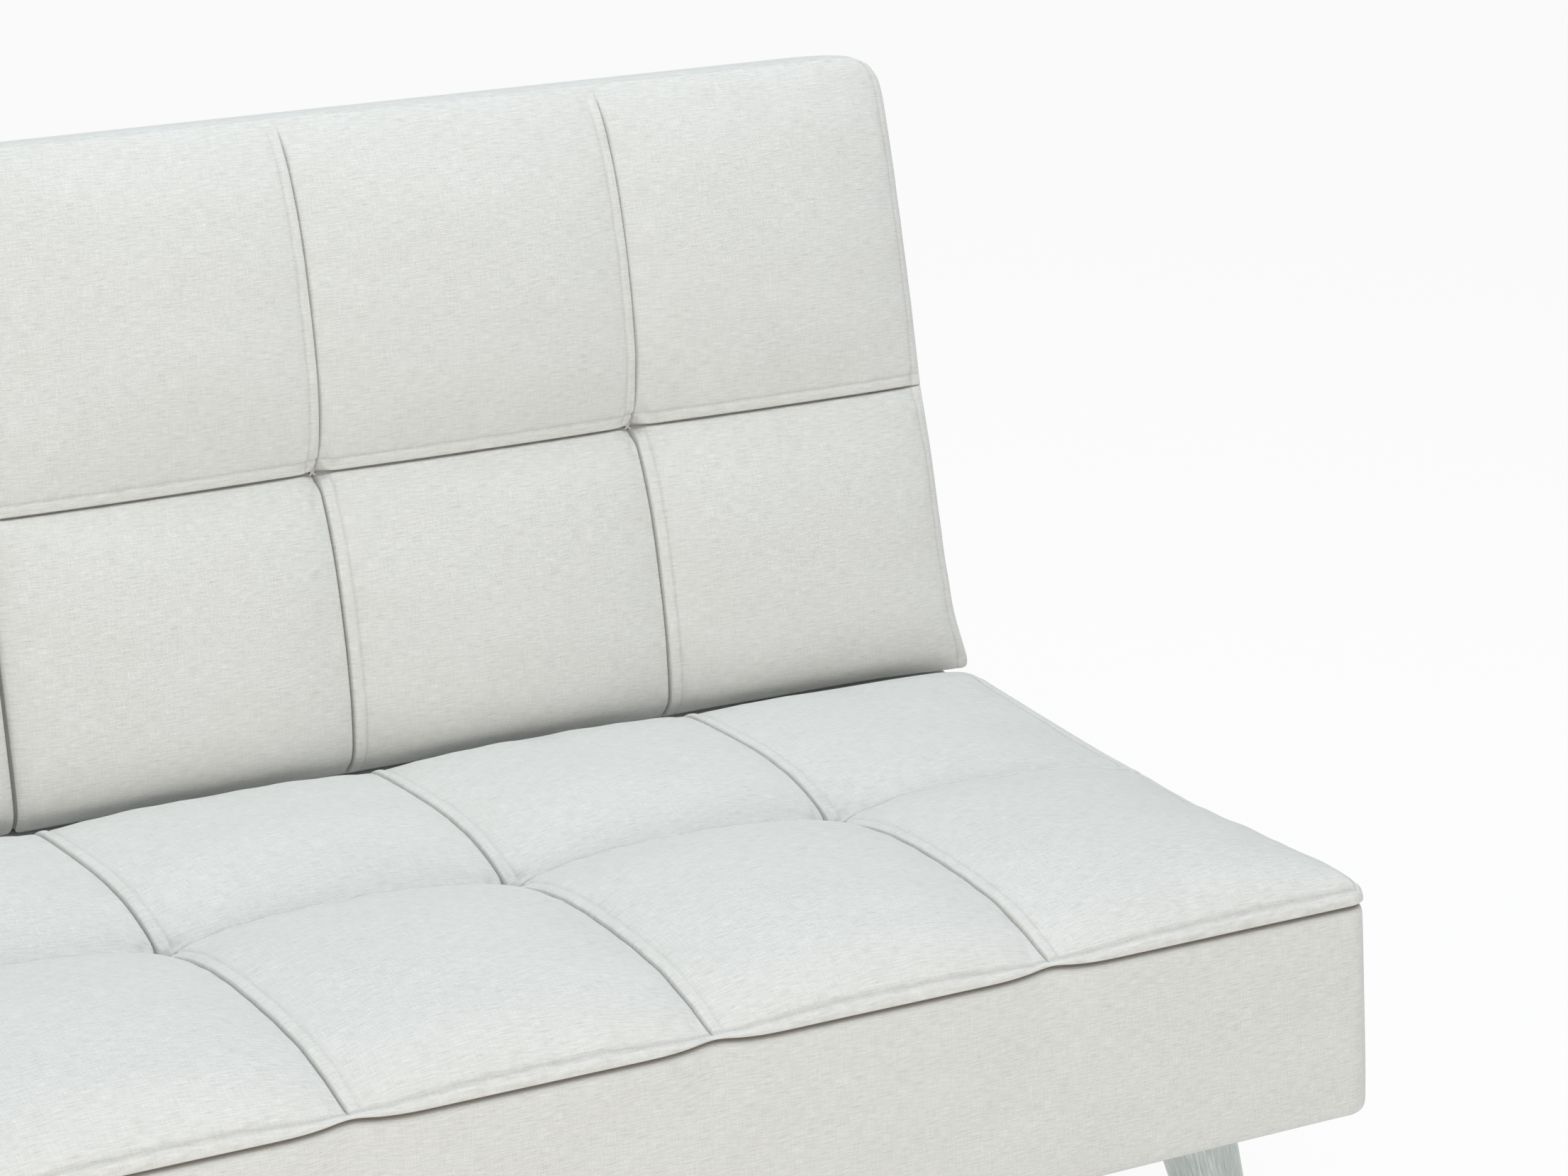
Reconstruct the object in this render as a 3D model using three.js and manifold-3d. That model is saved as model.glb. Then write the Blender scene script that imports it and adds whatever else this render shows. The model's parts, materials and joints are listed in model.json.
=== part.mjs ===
// A click clack sofa bed: one long quilted seat on splayed metal legs, and a back in two halves.
// Each half-back turns on two slotted steel hinges, from a sitting angle down to a flat bed.
// Millimetres, +Z up, front towards -Y, +X to the right for someone who stands in front of it.

import * as THREE from 'three';
import { mergeVertices } from 'three/addons/utils/BufferGeometryUtils.js';
import Module from 'manifold-3d';

const wasm = await Module();
wasm.setup();

// Tiles, and the width that follows from them
const tileWidth = 280;
const tilesPerHalf = 3;
const splitGap = 4;
const halfWidth = tileWidth * tilesPerHalf;

// Seat pad
const seatDepth = 606;
const seatFrontRow = 303;
const bandHeight = 170;
const tuftRise = 7;
const seatLineRise = 20;
const endRowRise = 8;
const endLineRise = 14;
const creaseLead = 20;
const creaseRun = 7;
const crestRise = 4;
const frontSeamLift = 18;
const seatEndLift = 14;
const seatRearEndLift = 3;
const seatColumnLift = 27;
const seatRearColumnLift = 20;
const seatRowLift = 17;
const seatCornerRadius = 17;
const seatRearRadius = 12;
const bandEdgeRadius = 6;
const skirt = 12;

// Back pads
const reclineAngle = 15;
const backSetIn = 44;
const backLowerRow = 242;
const backUpperRow = 255;
const backThickness = 140;
const backEndInset = 8;
const backSideBulge = 3;
const backFootFlare = 4;
const backColumnLift = 25;
const backLowerColumnLift = 18;
const backRowLift = 14;
const backEdgeLift = 14;
const backTopCrown = 26;
const backTopRadius = 40;
const backFootRadius = 14;
const backFootEase = 14;
const backFootRoll = 24;
const backRestGap = 1;

// Edge roll of every quilted pad
const rollRun = 26;

// Fold
const forwardAngle = 9;
const pivotDrop = 64;
const footDrop = 12;
const flatStep = 10;

// Timber and deck
const railThickness = 22;
const railHeight = 78;
const centreRailWidth = 45;
const battenWidth = 100;
const battenThickness = 15;
const backRailDepth = 68;
const timberEase = 2.5;
const strapWidth = 80;
const strapThickness = 2.2;
const coverThickness = 1.5;
const lowerSkin = 12;

// Legs
const legClearance = 190;
const legInset = 109;
const legSetback = 56;
const legSplayAngle = 12;
const legTopDiameter = 65;
const legFootDiameter = 36;
const legWall = 1.5;
const glideHeight = 8;
const glideStem = 16;
const glideTaper = 2;
const legPlateSize = 95;
const legPlateThickness = 3;
const legPlateCorner = 10;
const legPlateHole = 5.5;
const legPlateHoleInset = 13;
const centreLegTopDiameter = 52;
const centreLegFootDiameter = 42;
const centreFlangeDiameter = 74;
const centreFlangeThickness = 4;
const centreGlideDiameter = 34;
const centreGlideHeight = 10;

// Hinges
const hingeEndInset = 70;
const hingePlateThickness = 4;
const hingeHeadRadius = 26;
const hingeFlangeWidth = 46;
const hingeFlangeHeight = 62;
const hingeFlangeRise = 12;
const hingeNeckDepth = 26;
const pivotRadius = 4;
const rivetHeadRadius = 9;
const rivetHeadHeight = 3;
const stopPinRadius = 3;
const stopPinOrbit = 17;
const stopPinAngle = 66;
const stopHeadRadius = 5;
const stopHeadHeight = 2;
const housingRadius = 21;
const housingThickness = 9;
const armWidth = 30;
const armOffset = 29;
const armStart = 8;
const armFlangeWidth = 42;
const armFlangeDepth = 46;
const pocketMargin = 3;

// Clearances
const fitGap = 0.3;
const sideGap = 0.4;
const overrun = 5;

// Round faces are drawn with this many flats
const legSides = 28;
const pinSides = 16;
const holeSides = 10;
const filletSteps = 6;

// Heights that the sizes above give
const seatBottom = legClearance;
const frontSeamHeight = seatBottom + bandHeight;
const seatLine = frontSeamHeight + seatLineRise;
const backFaceSetback = seatDepth - backSetIn;
const creaseLine = backFaceSetback - creaseLead;
const padTop = seatLine + seatColumnLift + frontSeamLift;
const railBottom = seatBottom + coverThickness + 2 * fitGap;
const railTop = railBottom + railHeight;
const deckTop = railTop + fitGap + strapThickness + fitGap;

// Where the back turns. The pivot lies so that the back's face, which meets the seat at backFaceSetback
// when it stands, comes level with the seat less flatStep when it lies flat.
const recline = THREE.MathUtils.degToRad(reclineAngle);
const foldBack = Math.PI / 2 - recline;
const foldForward = THREE.MathUtils.degToRad(forwardAngle);
const leanSine = Math.sin(recline);
const leanCosine = Math.cos(recline);
const pivotBehind = (pivotDrop * (1 - leanSine) - flatStep) / leanCosine;
const pivotY = backFaceSetback + pivotBehind;
const pivotZ = seatLine - pivotDrop;
const backFace = pivotBehind * leanCosine + pivotDrop * leanSine;
const backFoot = pivotDrop * leanCosine - pivotBehind * leanSine - footDrop / leanCosine;
const backRear = backFace - backThickness;
const backMiddle = backFoot + backLowerRow;
const backSeam = backMiddle + backUpperRow;
const backTop = backSeam + backTopCrown;
const backCrownTop = backFace + backColumnLift + backRowLift + backEdgeLift;

// The ledge of the seat pad behind its crest slopes so that a back tilted fully forward lies along it
const footReach = pivotDrop - footDrop;
const ledgeHeight = pivotZ + footReach * Math.cos(foldForward);
const ledgeEnd = pivotY - footReach * Math.sin(foldForward);
const creaseHeight = ledgeHeight - (ledgeEnd - creaseLine) * Math.tan(foldForward);

const fabric = new THREE.MeshStandardMaterial({ color: 0xd9d8d2, roughness: 0.95, metalness: 0 });
const timber = new THREE.MeshStandardMaterial({ color: 0xc9a877, roughness: 0.8, metalness: 0 });
const webbing = new THREE.MeshStandardMaterial({ color: 0x3a3b3d, roughness: 0.9, metalness: 0 });
const liner = new THREE.MeshStandardMaterial({ color: 0x1f2022, roughness: 1, metalness: 0 });
const brushedSteel = new THREE.MeshStandardMaterial({ color: 0xb4bcb6, roughness: 0.35, metalness: 1 });
const zincPlate = new THREE.MeshStandardMaterial({ color: 0x9ea3a6, roughness: 0.45, metalness: 1 });
const blackPlastic = new THREE.MeshStandardMaterial({ color: 0x18191a, roughness: 0.6, metalness: 0 });

// Solids and geometries
function toSolid(geometry) {
  const bare = geometry.clone();
  for (const name of Object.keys(bare.attributes)) {
    if (name !== 'position') bare.deleteAttribute(name);
  }
  const merged = mergeVertices(bare);
  const triVerts = new Uint32Array(merged.index.array);
  const vertProperties = new Float32Array(merged.attributes.position.array);
  return new wasm.Manifold(new wasm.Mesh({ numProp: 3, vertProperties, triVerts }));
}

function toGeometry(solid) {
  const { vertProperties, triVerts } = solid.getMesh();
  const geometry = new THREE.BufferGeometry();
  geometry.setAttribute('position', new THREE.BufferAttribute(vertProperties, 3));
  geometry.setIndex(new THREE.BufferAttribute(triVerts, 1));
  return geometry;
}

function cut(geometry, ...tools) {
  return toGeometry(tools.reduce((left, tool) => left.subtract(toSolid(tool)), toSolid(geometry)));
}

function join(geometry, ...others) {
  return toGeometry(others.reduce((left, other) => left.add(toSolid(other)), toSolid(geometry)));
}

function common(geometry, ...others) {
  return toGeometry(others.reduce((left, other) => left.intersect(toSolid(other)), toSolid(geometry)));
}

function addMesh(group, name, geometry, material) {
  const mesh = new THREE.Mesh(geometry, material);
  mesh.name = name;
  group.add(mesh);
  return mesh;
}

// A box between two values on each axis, given in either order
function boxBetween([x0, x1], [y0, y1], [z0, z1]) {
  const size = [Math.abs(x1 - x0), Math.abs(y1 - y0), Math.abs(z1 - z0)];
  return new THREE.BoxGeometry(...size).translate((x0 + x1) / 2, (y0 + y1) / 2, (z0 + z1) / 2);
}

// A shape drawn in (y, z) and extruded along x between two values
function extrudeAlongX(shape, x0, x1, curveSegments = filletSteps) {
  const depth = Math.abs(x1 - x0);
  const geometry = new THREE.ExtrudeGeometry(shape, { depth, bevelEnabled: false, curveSegments });
  const turn = new THREE.Matrix4().makeBasis(
    new THREE.Vector3(0, 1, 0),
    new THREE.Vector3(0, 0, 1),
    new THREE.Vector3(1, 0, 0),
  );
  return geometry.applyMatrix4(turn).translate(Math.min(x0, x1), 0, 0);
}

// A shape drawn in (x, y) and extruded along z between two values
function extrudeAlongZ(shape, z0, z1, curveSegments = filletSteps) {
  const geometry = new THREE.ExtrudeGeometry(shape, { depth: z1 - z0, bevelEnabled: false, curveSegments });
  return geometry.translate(0, 0, z0);
}

// A round bar along x, centred on (y, z)
function rodAlongX(radius, x0, x1, y, z, sides = pinSides) {
  const rod = new THREE.CylinderGeometry(radius, radius, Math.abs(x1 - x0), sides);
  return rod.rotateZ(Math.PI / 2).translate((x0 + x1) / 2, y, z);
}

// A planed timber with eased corners, between two values on each axis, running along the named axis
function timberBetween(along, xs, ys, zs) {
  const spans = [xs, ys, zs].map(([low, high]) => Math.abs(high - low));
  const middle = [xs, ys, zs].map(([low, high]) => (low + high) / 2);
  const lengthAxis = 'xyz'.indexOf(along);
  const [u, v] = [(lengthAxis + 1) % 3, (lengthAxis + 2) % 3];
  const [w, h] = [spans[u] / 2, spans[v] / 2];
  const outline = new THREE.Shape([
    new THREE.Vector2(timberEase - w, -h),
    new THREE.Vector2(w - timberEase, -h),
    new THREE.Vector2(w, timberEase - h),
    new THREE.Vector2(w, h - timberEase),
    new THREE.Vector2(w - timberEase, h),
    new THREE.Vector2(timberEase - w, h),
    new THREE.Vector2(-w, h - timberEase),
    new THREE.Vector2(-w, timberEase - h),
  ]);
  const geometry = extrudeAlongZ(outline, -spans[lengthAxis] / 2, spans[lengthAxis] / 2);
  const axes = [new THREE.Vector3(1, 0, 0), new THREE.Vector3(0, 1, 0), new THREE.Vector3(0, 0, 1)];
  const turn = new THREE.Matrix4().makeBasis(axes[u], axes[v], axes[lengthAxis]);
  return geometry.applyMatrix4(turn).translate(...middle);
}

// Quilted pads. The crown of a seam or tile from one end (0) to the other (1)
function crown(share) {
  return 1 - Math.abs(2 * share - 1) ** 2.6;
}

// How far a pad's rolled edge has come up at a distance from the edge seam
function rollUp(distance) {
  const left = 1 - Math.min(distance / rollRun, 1);
  return Math.sqrt(1 - left * left);
}

// Height of a tile at shares u, v of its width and depth. Each side has a lift, which is how far its seam
// rises between the tufts, and an outer side rolls up from the edge seam instead.
function tileHeight(tile, u, v) {
  const { width, depth, corners, lifts, outer } = tile;
  const base = (corners[0] * (1 - u) + corners[1] * u) * (1 - v) + (corners[2] * (1 - u) + corners[3] * u) * v;
  const left = lifts.left * crown(v) * (1 - u) * (outer.left ? rollUp(u * width) : 1);
  const right = lifts.right * crown(v) * u * (outer.right ? rollUp((1 - u) * width) : 1);
  const near = lifts.near * crown(u) * (1 - v) * (outer.near ? rollUp(v * depth) : 1);
  const far = lifts.far * crown(u) * v * (outer.far ? rollUp((1 - v) * depth) : 1);
  return base + left + right + near + far;
}

// Shares of a tile where it has vertices: plain between two seams, and closer together at an outer edge
const innerShares = [0, 0.1, 0.26, 0.5, 0.74, 0.9];
const nearEdgeShares = [0, 0.02, 0.07, 0.2, 0.46, 0.72, 0.9];
const farEdgeShares = [0, 0.1, 0.28, 0.54, 0.8, 0.93, 0.98];
const flatShares = [0, 0.5];

// A closed block whose top is a grid of tiles. Lines are seam places; heights are given per seam crossing.
function quiltedBlock({ xLines, yLines, crossings, columnLifts, rowLifts, xShares, yShares, outer, bottom }) {
  const columns = [];
  xShares.forEach((shares, i) => shares.forEach((u) => columns.push({ i, u })));
  columns.push({ i: xShares.length - 1, u: 1 });
  const rows = [];
  yShares.forEach((shares, j) => shares.forEach((v) => rows.push({ j, v })));
  rows.push({ j: yShares.length - 1, v: 1 });

  const positions = [];
  const at = (column, row) => row * columns.length + column;
  for (const { j, v } of rows) {
    for (const { i, u } of columns) {
      const [x0, x1, y0, y1] = [xLines[i], xLines[i + 1], yLines[j], yLines[j + 1]];
      const tile = {
        width: x1 - x0,
        depth: y1 - y0,
        corners: [crossings[j][i], crossings[j][i + 1], crossings[j + 1][i], crossings[j + 1][i + 1]],
        lifts: {
          left: columnLifts[j][i],
          right: columnLifts[j][i + 1],
          near: rowLifts[j],
          far: rowLifts[j + 1],
        },
        outer: {
          left: outer.left && i === 0,
          right: outer.right && i === xShares.length - 1,
          near: outer.near && j === 0,
          far: outer.far && j === yShares.length - 1,
        },
      };
      positions.push(x0 + (x1 - x0) * u, y0 + (y1 - y0) * v, tileHeight(tile, u, v));
    }
  }

  const faces = [];
  for (let row = 0; row < rows.length - 1; row += 1) {
    for (let column = 0; column < columns.length - 1; column += 1) {
      const [a, b] = [at(column, row), at(column + 1, row)];
      const [c, d] = [at(column + 1, row + 1), at(column, row + 1)];
      faces.push(a, b, c, a, c, d);
    }
  }

  // The rim, counter-clockwise from above, then the walls and the underside
  const rim = [];
  for (let column = 0; column < columns.length - 1; column += 1) rim.push(at(column, 0));
  for (let row = 0; row < rows.length - 1; row += 1) rim.push(at(columns.length - 1, row));
  for (let column = columns.length - 1; column > 0; column -= 1) rim.push(at(column, rows.length - 1));
  for (let row = rows.length - 1; row > 0; row -= 1) rim.push(at(0, row));
  const firstLow = positions.length / 3;
  for (const index of rim) positions.push(positions[3 * index], positions[3 * index + 1], bottom);
  const centre = positions.length / 3;
  const middleX = (xLines[0] + xLines.at(-1)) / 2;
  const middleY = (yLines[0] + yLines.at(-1)) / 2;
  positions.push(middleX, middleY, bottom);
  rim.forEach((high, k) => {
    const next = (k + 1) % rim.length;
    faces.push(high, firstLow + k, firstLow + next, high, firstLow + next, rim[next]);
    faces.push(centre, firstLow + next, firstLow + k);
  });

  const geometry = new THREE.BufferGeometry();
  geometry.setAttribute('position', new THREE.Float32BufferAttribute(positions, 3));
  geometry.setIndex(faces);
  return geometry;
}

// Seat pad: a quilted block, trimmed by its plan with rounded corners and by its side section
function seatPlan() {
  const [w, r] = [halfWidth, seatCornerRadius];
  const plan = new THREE.Shape();
  plan.moveTo(r - w, 0);
  plan.lineTo(w - r, 0);
  plan.absarc(w - r, r, r, -Math.PI / 2, 0, false);
  plan.lineTo(w, seatDepth - r);
  plan.absarc(w - r, seatDepth - r, r, 0, Math.PI / 2, false);
  plan.lineTo(r - w, seatDepth);
  plan.absarc(r - w, seatDepth - r, r, Math.PI / 2, Math.PI, false);
  plan.lineTo(-w, r);
  plan.absarc(r - w, r, r, Math.PI, 1.5 * Math.PI, false);
  return plan;
}

function seatSection() {
  const [e, r] = [bandEdgeRadius, seatRearRadius];
  const section = new THREE.Shape();
  section.moveTo(e, seatBottom);
  section.lineTo(seatDepth - e, seatBottom);
  section.absarc(seatDepth - e, seatBottom + e, e, -Math.PI / 2, 0, false);
  section.lineTo(seatDepth, ledgeHeight - r);
  section.absarc(seatDepth - r, ledgeHeight - r, r, 0, Math.PI / 2, false);
  section.lineTo(ledgeEnd, ledgeHeight);
  section.lineTo(creaseLine, creaseHeight);
  section.lineTo(creaseLine - creaseRun, seatLine + crestRise);
  section.lineTo(creaseLine - creaseRun - rollRun, padTop);
  section.lineTo(0, padTop);
  section.lineTo(0, seatBottom + e);
  section.absarc(e, seatBottom + e, e, Math.PI, 1.5 * Math.PI, false);
  return section;
}

function seatCushionGeometry() {
  const tiles = 2 * tilesPerHalf;
  const xLines = Array.from({ length: tiles + 1 }, (_, i) => i * tileWidth - halfWidth);
  const atEnd = (i) => i === 0 || i === tiles;
  const seam = frontSeamHeight;
  const rise = (inner, end) => xLines.map((_, i) => seam + (atEnd(i) ? end : inner));
  const lift = (inner, end) => xLines.map((_, i) => (atEnd(i) ? end : inner));
  const block = quiltedBlock({
    xLines,
    yLines: [0, seatFrontRow, creaseLine, seatDepth],
    crossings: [
      rise(0, 0),
      rise(tuftRise, endRowRise),
      rise(seatLineRise, endLineRise),
      rise(seatLineRise, endLineRise),
    ],
    columnLifts: [lift(seatColumnLift, seatEndLift), lift(seatRearColumnLift, seatRearEndLift), lift(0, 0)],
    rowLifts: [frontSeamLift, seatRowLift, 0, 0],
    xShares: xLines.slice(1).map((_, i) => {
      if (i === 0) return nearEdgeShares;
      return i === tiles - 1 ? farEdgeShares : innerShares;
    }),
    yShares: [nearEdgeShares, innerShares, flatShares],
    outer: { left: true, right: true, near: true, far: false },
    bottom: seatBottom - overrun,
  });
  const plan = extrudeAlongZ(seatPlan(), seatBottom - overrun, padTop + overrun);
  const section = extrudeAlongX(seatSection(), -halfWidth - overrun, halfWidth + overrun);
  const well = boxBetween(
    [skirt - halfWidth, halfWidth - skirt],
    [skirt, seatDepth - skirt],
    [seatBottom - overrun, deckTop],
  );
  return cut(common(block, plan, section), well, ...hingePlaces.flatMap(seatHingePockets));
}

// Hinge places: one near the split and one near the end, for each half
const hingePlaces = [-1, 1].flatMap((side) => [
  { side, place: 'inner', x: side * hingeEndInset },
  { side, place: 'outer', x: side * (halfWidth - hingeEndInset) },
]);

// Layers of a hinge along x, counted outwards from the inner face of the arm
const armLayer = [0, hingePlateThickness];
const plateLayer = [hingePlateThickness + sideGap, 2 * hingePlateThickness + sideGap];
const housingLayer = [-housingThickness, 0];
const rivetSpan = [-housingThickness - fitGap, plateLayer[1] + fitGap];

const outward = ({ side, x }, layer) => layer.map((value) => x + side * value);

function seatHingePockets(hinge) {
  const headLayer = [rivetSpan[0] - rivetHeadHeight - pocketMargin, rivetSpan[1] + rivetHeadHeight + pocketMargin];
  const flangeLayer = [plateLayer[0] - pocketMargin, plateLayer[0] + hingeFlangeWidth + pocketMargin];
  const flangeBottom = railBottom + hingeFlangeRise;
  const behind = [seatDepth - skirt - overrun, seatDepth + overrun];
  const head = boxBetween(
    outward(hinge, headLayer),
    [pivotY - hingeHeadRadius - pocketMargin, behind[1]],
    [flangeBottom - pocketMargin, pivotZ + hingeHeadRadius + pocketMargin],
  );
  const flange = boxBetween(
    outward(hinge, flangeLayer),
    behind,
    [flangeBottom - pocketMargin, flangeBottom + hingeFlangeHeight + pocketMargin],
  );
  return [head, flange];
}

// Seat plate: a flange screwed to the rear rail, and a cheek with a round head and the stop slot
function seatPlateGeometry(hinge) {
  const railFace = seatDepth - skirt - fitGap;
  const flangeFront = railFace + fitGap;
  const low = railBottom + hingeFlangeRise;
  const high = low + hingeFlangeHeight;
  const cheek = new THREE.Shape([
    new THREE.Vector2(flangeFront, low),
    new THREE.Vector2(flangeFront + hingePlateThickness, low),
    new THREE.Vector2(flangeFront + hingeNeckDepth, low + hingeNeckDepth / 2),
    new THREE.Vector2(pivotY + hingeHeadRadius, pivotZ),
    new THREE.Vector2(pivotY, pivotZ),
    new THREE.Vector2(flangeFront, high + hingeFlangeRise),
  ]);
  const slot = arcSlot(stopPinOrbit, stopPinRadius + fitGap, stopPinAngle, foldBack + foldForward);
  const layer = outward(hinge, plateLayer);
  const head = rodAlongX(hingeHeadRadius, ...layer, pivotY, pivotZ, legSides);
  const past = outward(hinge, [plateLayer[0] - overrun, plateLayer[1] + overrun]);
  const flange = boxBetween(
    outward(hinge, [plateLayer[0], plateLayer[0] + hingeFlangeWidth]),
    [flangeFront, flangeFront + hingePlateThickness],
    [low, high],
  );
  const plate = join(extrudeAlongX(cheek, ...layer), head, flange);
  const slotCut = extrudeAlongX(slot, ...past, filletSteps).translate(0, pivotY, pivotZ);
  return cut(plate, slotCut, rodAlongX(pivotRadius + fitGap, ...past, pivotY, pivotZ));
}

// A curved slot about the origin, in (y, z), from an angle in degrees on through a sweep in radians
function arcSlot(orbit, radius, startDegrees, sweep) {
  const start = THREE.MathUtils.degToRad(startDegrees);
  const end = start + sweep;
  const slot = new THREE.Shape();
  slot.absarc(0, 0, orbit + radius, start, end, false);
  slot.absarc(orbit * Math.cos(end), orbit * Math.sin(end), radius, end, end + Math.PI, false);
  slot.absarc(0, 0, orbit - radius, end, start, true);
  slot.absarc(orbit * Math.cos(start), orbit * Math.sin(start), radius, start + Math.PI, start + 2 * Math.PI, false);
  return slot;
}

// Where the blade's web leaves the head, as shares of the head's radius
const webShares = [0.4, 0.9];

// Back arm, in the half-back's own frame: y along the pad from the pivot, z towards its face. A head with
// the ratchet housing on it, a cranked blade, and a flange screwed to the bottom rail.
function backArmGeometry(hinge) {
  const blade = new THREE.Shape([
    new THREE.Vector2(armStart, -armOffset - armWidth / 2),
    new THREE.Vector2(backRailFoot - fitGap, -armOffset - armWidth / 2),
    new THREE.Vector2(backRailFoot - fitGap, armWidth / 2 - armOffset),
    new THREE.Vector2(armStart + armWidth, armWidth / 2 - armOffset),
    new THREE.Vector2(hingeHeadRadius, 0),
    new THREE.Vector2(0, 0),
    new THREE.Vector2(-hingeHeadRadius * webShares[0], -hingeHeadRadius * webShares[1]),
  ]);
  const layer = outward(hinge, armLayer);
  const head = rodAlongX(hingeHeadRadius, ...layer, 0, 0, legSides);
  const housing = rodAlongX(housingRadius, ...outward(hinge, housingLayer), 0, 0, legSides);
  const flange = boxBetween(
    outward(hinge, [hingePlateThickness - armFlangeWidth, hingePlateThickness]),
    [backRailFoot - fitGap - hingePlateThickness, backRailFoot - fitGap],
    [-armOffset - armFlangeDepth / 2, armFlangeDepth / 2 - armOffset],
  );
  const arm = join(extrudeAlongX(blade, ...layer), head, housing, flange);
  const through = outward(hinge, [housingLayer[0] - overrun, armLayer[1] + overrun]);
  const pinPlace = stopPinPlace();
  const pinHole = rodAlongX(stopPinRadius + fitGap, ...outward(hinge, [0, armLayer[1] + overrun]), ...pinPlace);
  return cut(arm, rodAlongX(pivotRadius + fitGap, ...through, 0, 0), pinHole);
}

function stopPinPlace() {
  const angle = THREE.MathUtils.degToRad(stopPinAngle);
  return [stopPinOrbit * Math.cos(angle), stopPinOrbit * Math.sin(angle)];
}

// A rivet along x with a domed head at each end, centred on (0, 0)
function rivetGeometry(hinge) {
  const [inner, outer] = rivetSpan;
  const profile = new THREE.Path();
  profile.moveTo(0, inner - rivetHeadHeight);
  profile.quadraticCurveTo(rivetHeadRadius, inner - rivetHeadHeight, rivetHeadRadius, inner);
  profile.lineTo(pivotRadius, inner);
  profile.lineTo(pivotRadius, outer);
  profile.lineTo(rivetHeadRadius, outer);
  profile.quadraticCurveTo(rivetHeadRadius, outer + rivetHeadHeight, 0, outer + rivetHeadHeight);
  return latheAlongX(profile, hinge);
}

// The stop pin sits in the arm's hole and runs in the plate's slot, with its head outside the plate
function stopPinGeometry(hinge) {
  const headStart = plateLayer[1] + fitGap;
  const profile = new THREE.Path();
  profile.moveTo(0, fitGap);
  profile.lineTo(stopPinRadius, fitGap);
  profile.lineTo(stopPinRadius, headStart);
  profile.lineTo(stopHeadRadius, headStart);
  profile.lineTo(stopHeadRadius, headStart + stopHeadHeight);
  profile.lineTo(0, headStart + stopHeadHeight);
  return latheAlongX(profile, hinge).translate(0, ...stopPinPlace());
}

// Turns a profile (radius, distance outwards) about the x axis through a hinge
function latheAlongX(profile, hinge) {
  const points = profile.getPoints(filletSteps / 2);
  const turned = new THREE.LatheGeometry(points, pinSides);
  const along = new THREE.Matrix4().makeBasis(
    new THREE.Vector3(0, 0, hinge.side),
    new THREE.Vector3(hinge.side, 0, 0),
    new THREE.Vector3(0, 1, 0),
  );
  return toGeometry(toSolid(turned)).applyMatrix4(along).translate(hinge.x, 0, 0);
}

// Half-back, in its own frame: x as on the sofa, y up the pad from the pivot, z towards its face
const backRailFoot = backFoot + backThickness * Math.tan(recline) + lowerSkin;
const backWell = backRear + coverThickness + 2 * fitGap + backRailDepth;
const wellCeiling = backWell + fitGap + strapThickness + fitGap;

// Side section: the foot is cut level when the back stands, and rolls up into the face
function backSection() {
  const corner = backFoot + backRestGap / leanCosine;
  const footAt = (z) => corner + (backFace - z) * Math.tan(recline);
  const ease = backFace - backFootEase;
  const section = new THREE.Shape();
  section.moveTo(footAt(backRear), backRear);
  section.lineTo(backSeam, backRear);
  section.lineTo(backSeam, backCrownTop);
  section.lineTo(corner + 2 * backFootRoll, backCrownTop);
  section.lineTo(corner + backFootRoll, backFace + backEdgeLift);
  section.quadraticCurveTo(corner, backFace, footAt(ease), ease);
  return section;
}

// The band along the top is crowned from the front seam over to the rear edge
function backTopRoll() {
  const half = backThickness / 2;
  const roll = new THREE.Shape();
  roll.moveTo(backSeam - overrun, backRear);
  roll.lineTo(backSeam, backRear);
  roll.absellipse(backSeam, backFace - half, backTopCrown, half, -Math.PI / 2, Math.PI / 2, false);
  roll.lineTo(backSeam - overrun, backFace);
  return roll;
}

// Front outline: the side swells towards the foot, and the top corner is well rounded
function backOutline(inner, outer) {
  const sign = Math.sign(outer);
  const foot = outer - sign * backSideBulge;
  const end = foot - sign * backFootFlare;
  const [R, r] = [backTopRadius, backFootRadius];
  const low = backFoot - overrun;
  const outline = new THREE.Shape();
  outline.moveTo(inner, low + r);
  outline.lineTo(inner, backTop - r);
  outline.quadraticCurveTo(inner, backTop, inner + sign * r, backTop);
  outline.lineTo(end - sign * R, backTop);
  outline.quadraticCurveTo(end, backTop, end, backTop - R);
  outline.lineTo(end, backMiddle);
  outline.quadraticCurveTo(outer, (backMiddle + low) / 2, foot, low + r);
  outline.quadraticCurveTo(foot, low, foot - sign * r, low);
  outline.lineTo(inner + sign * r, low);
  outline.quadraticCurveTo(inner, low, inner, low + r);
  return outline;
}

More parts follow.
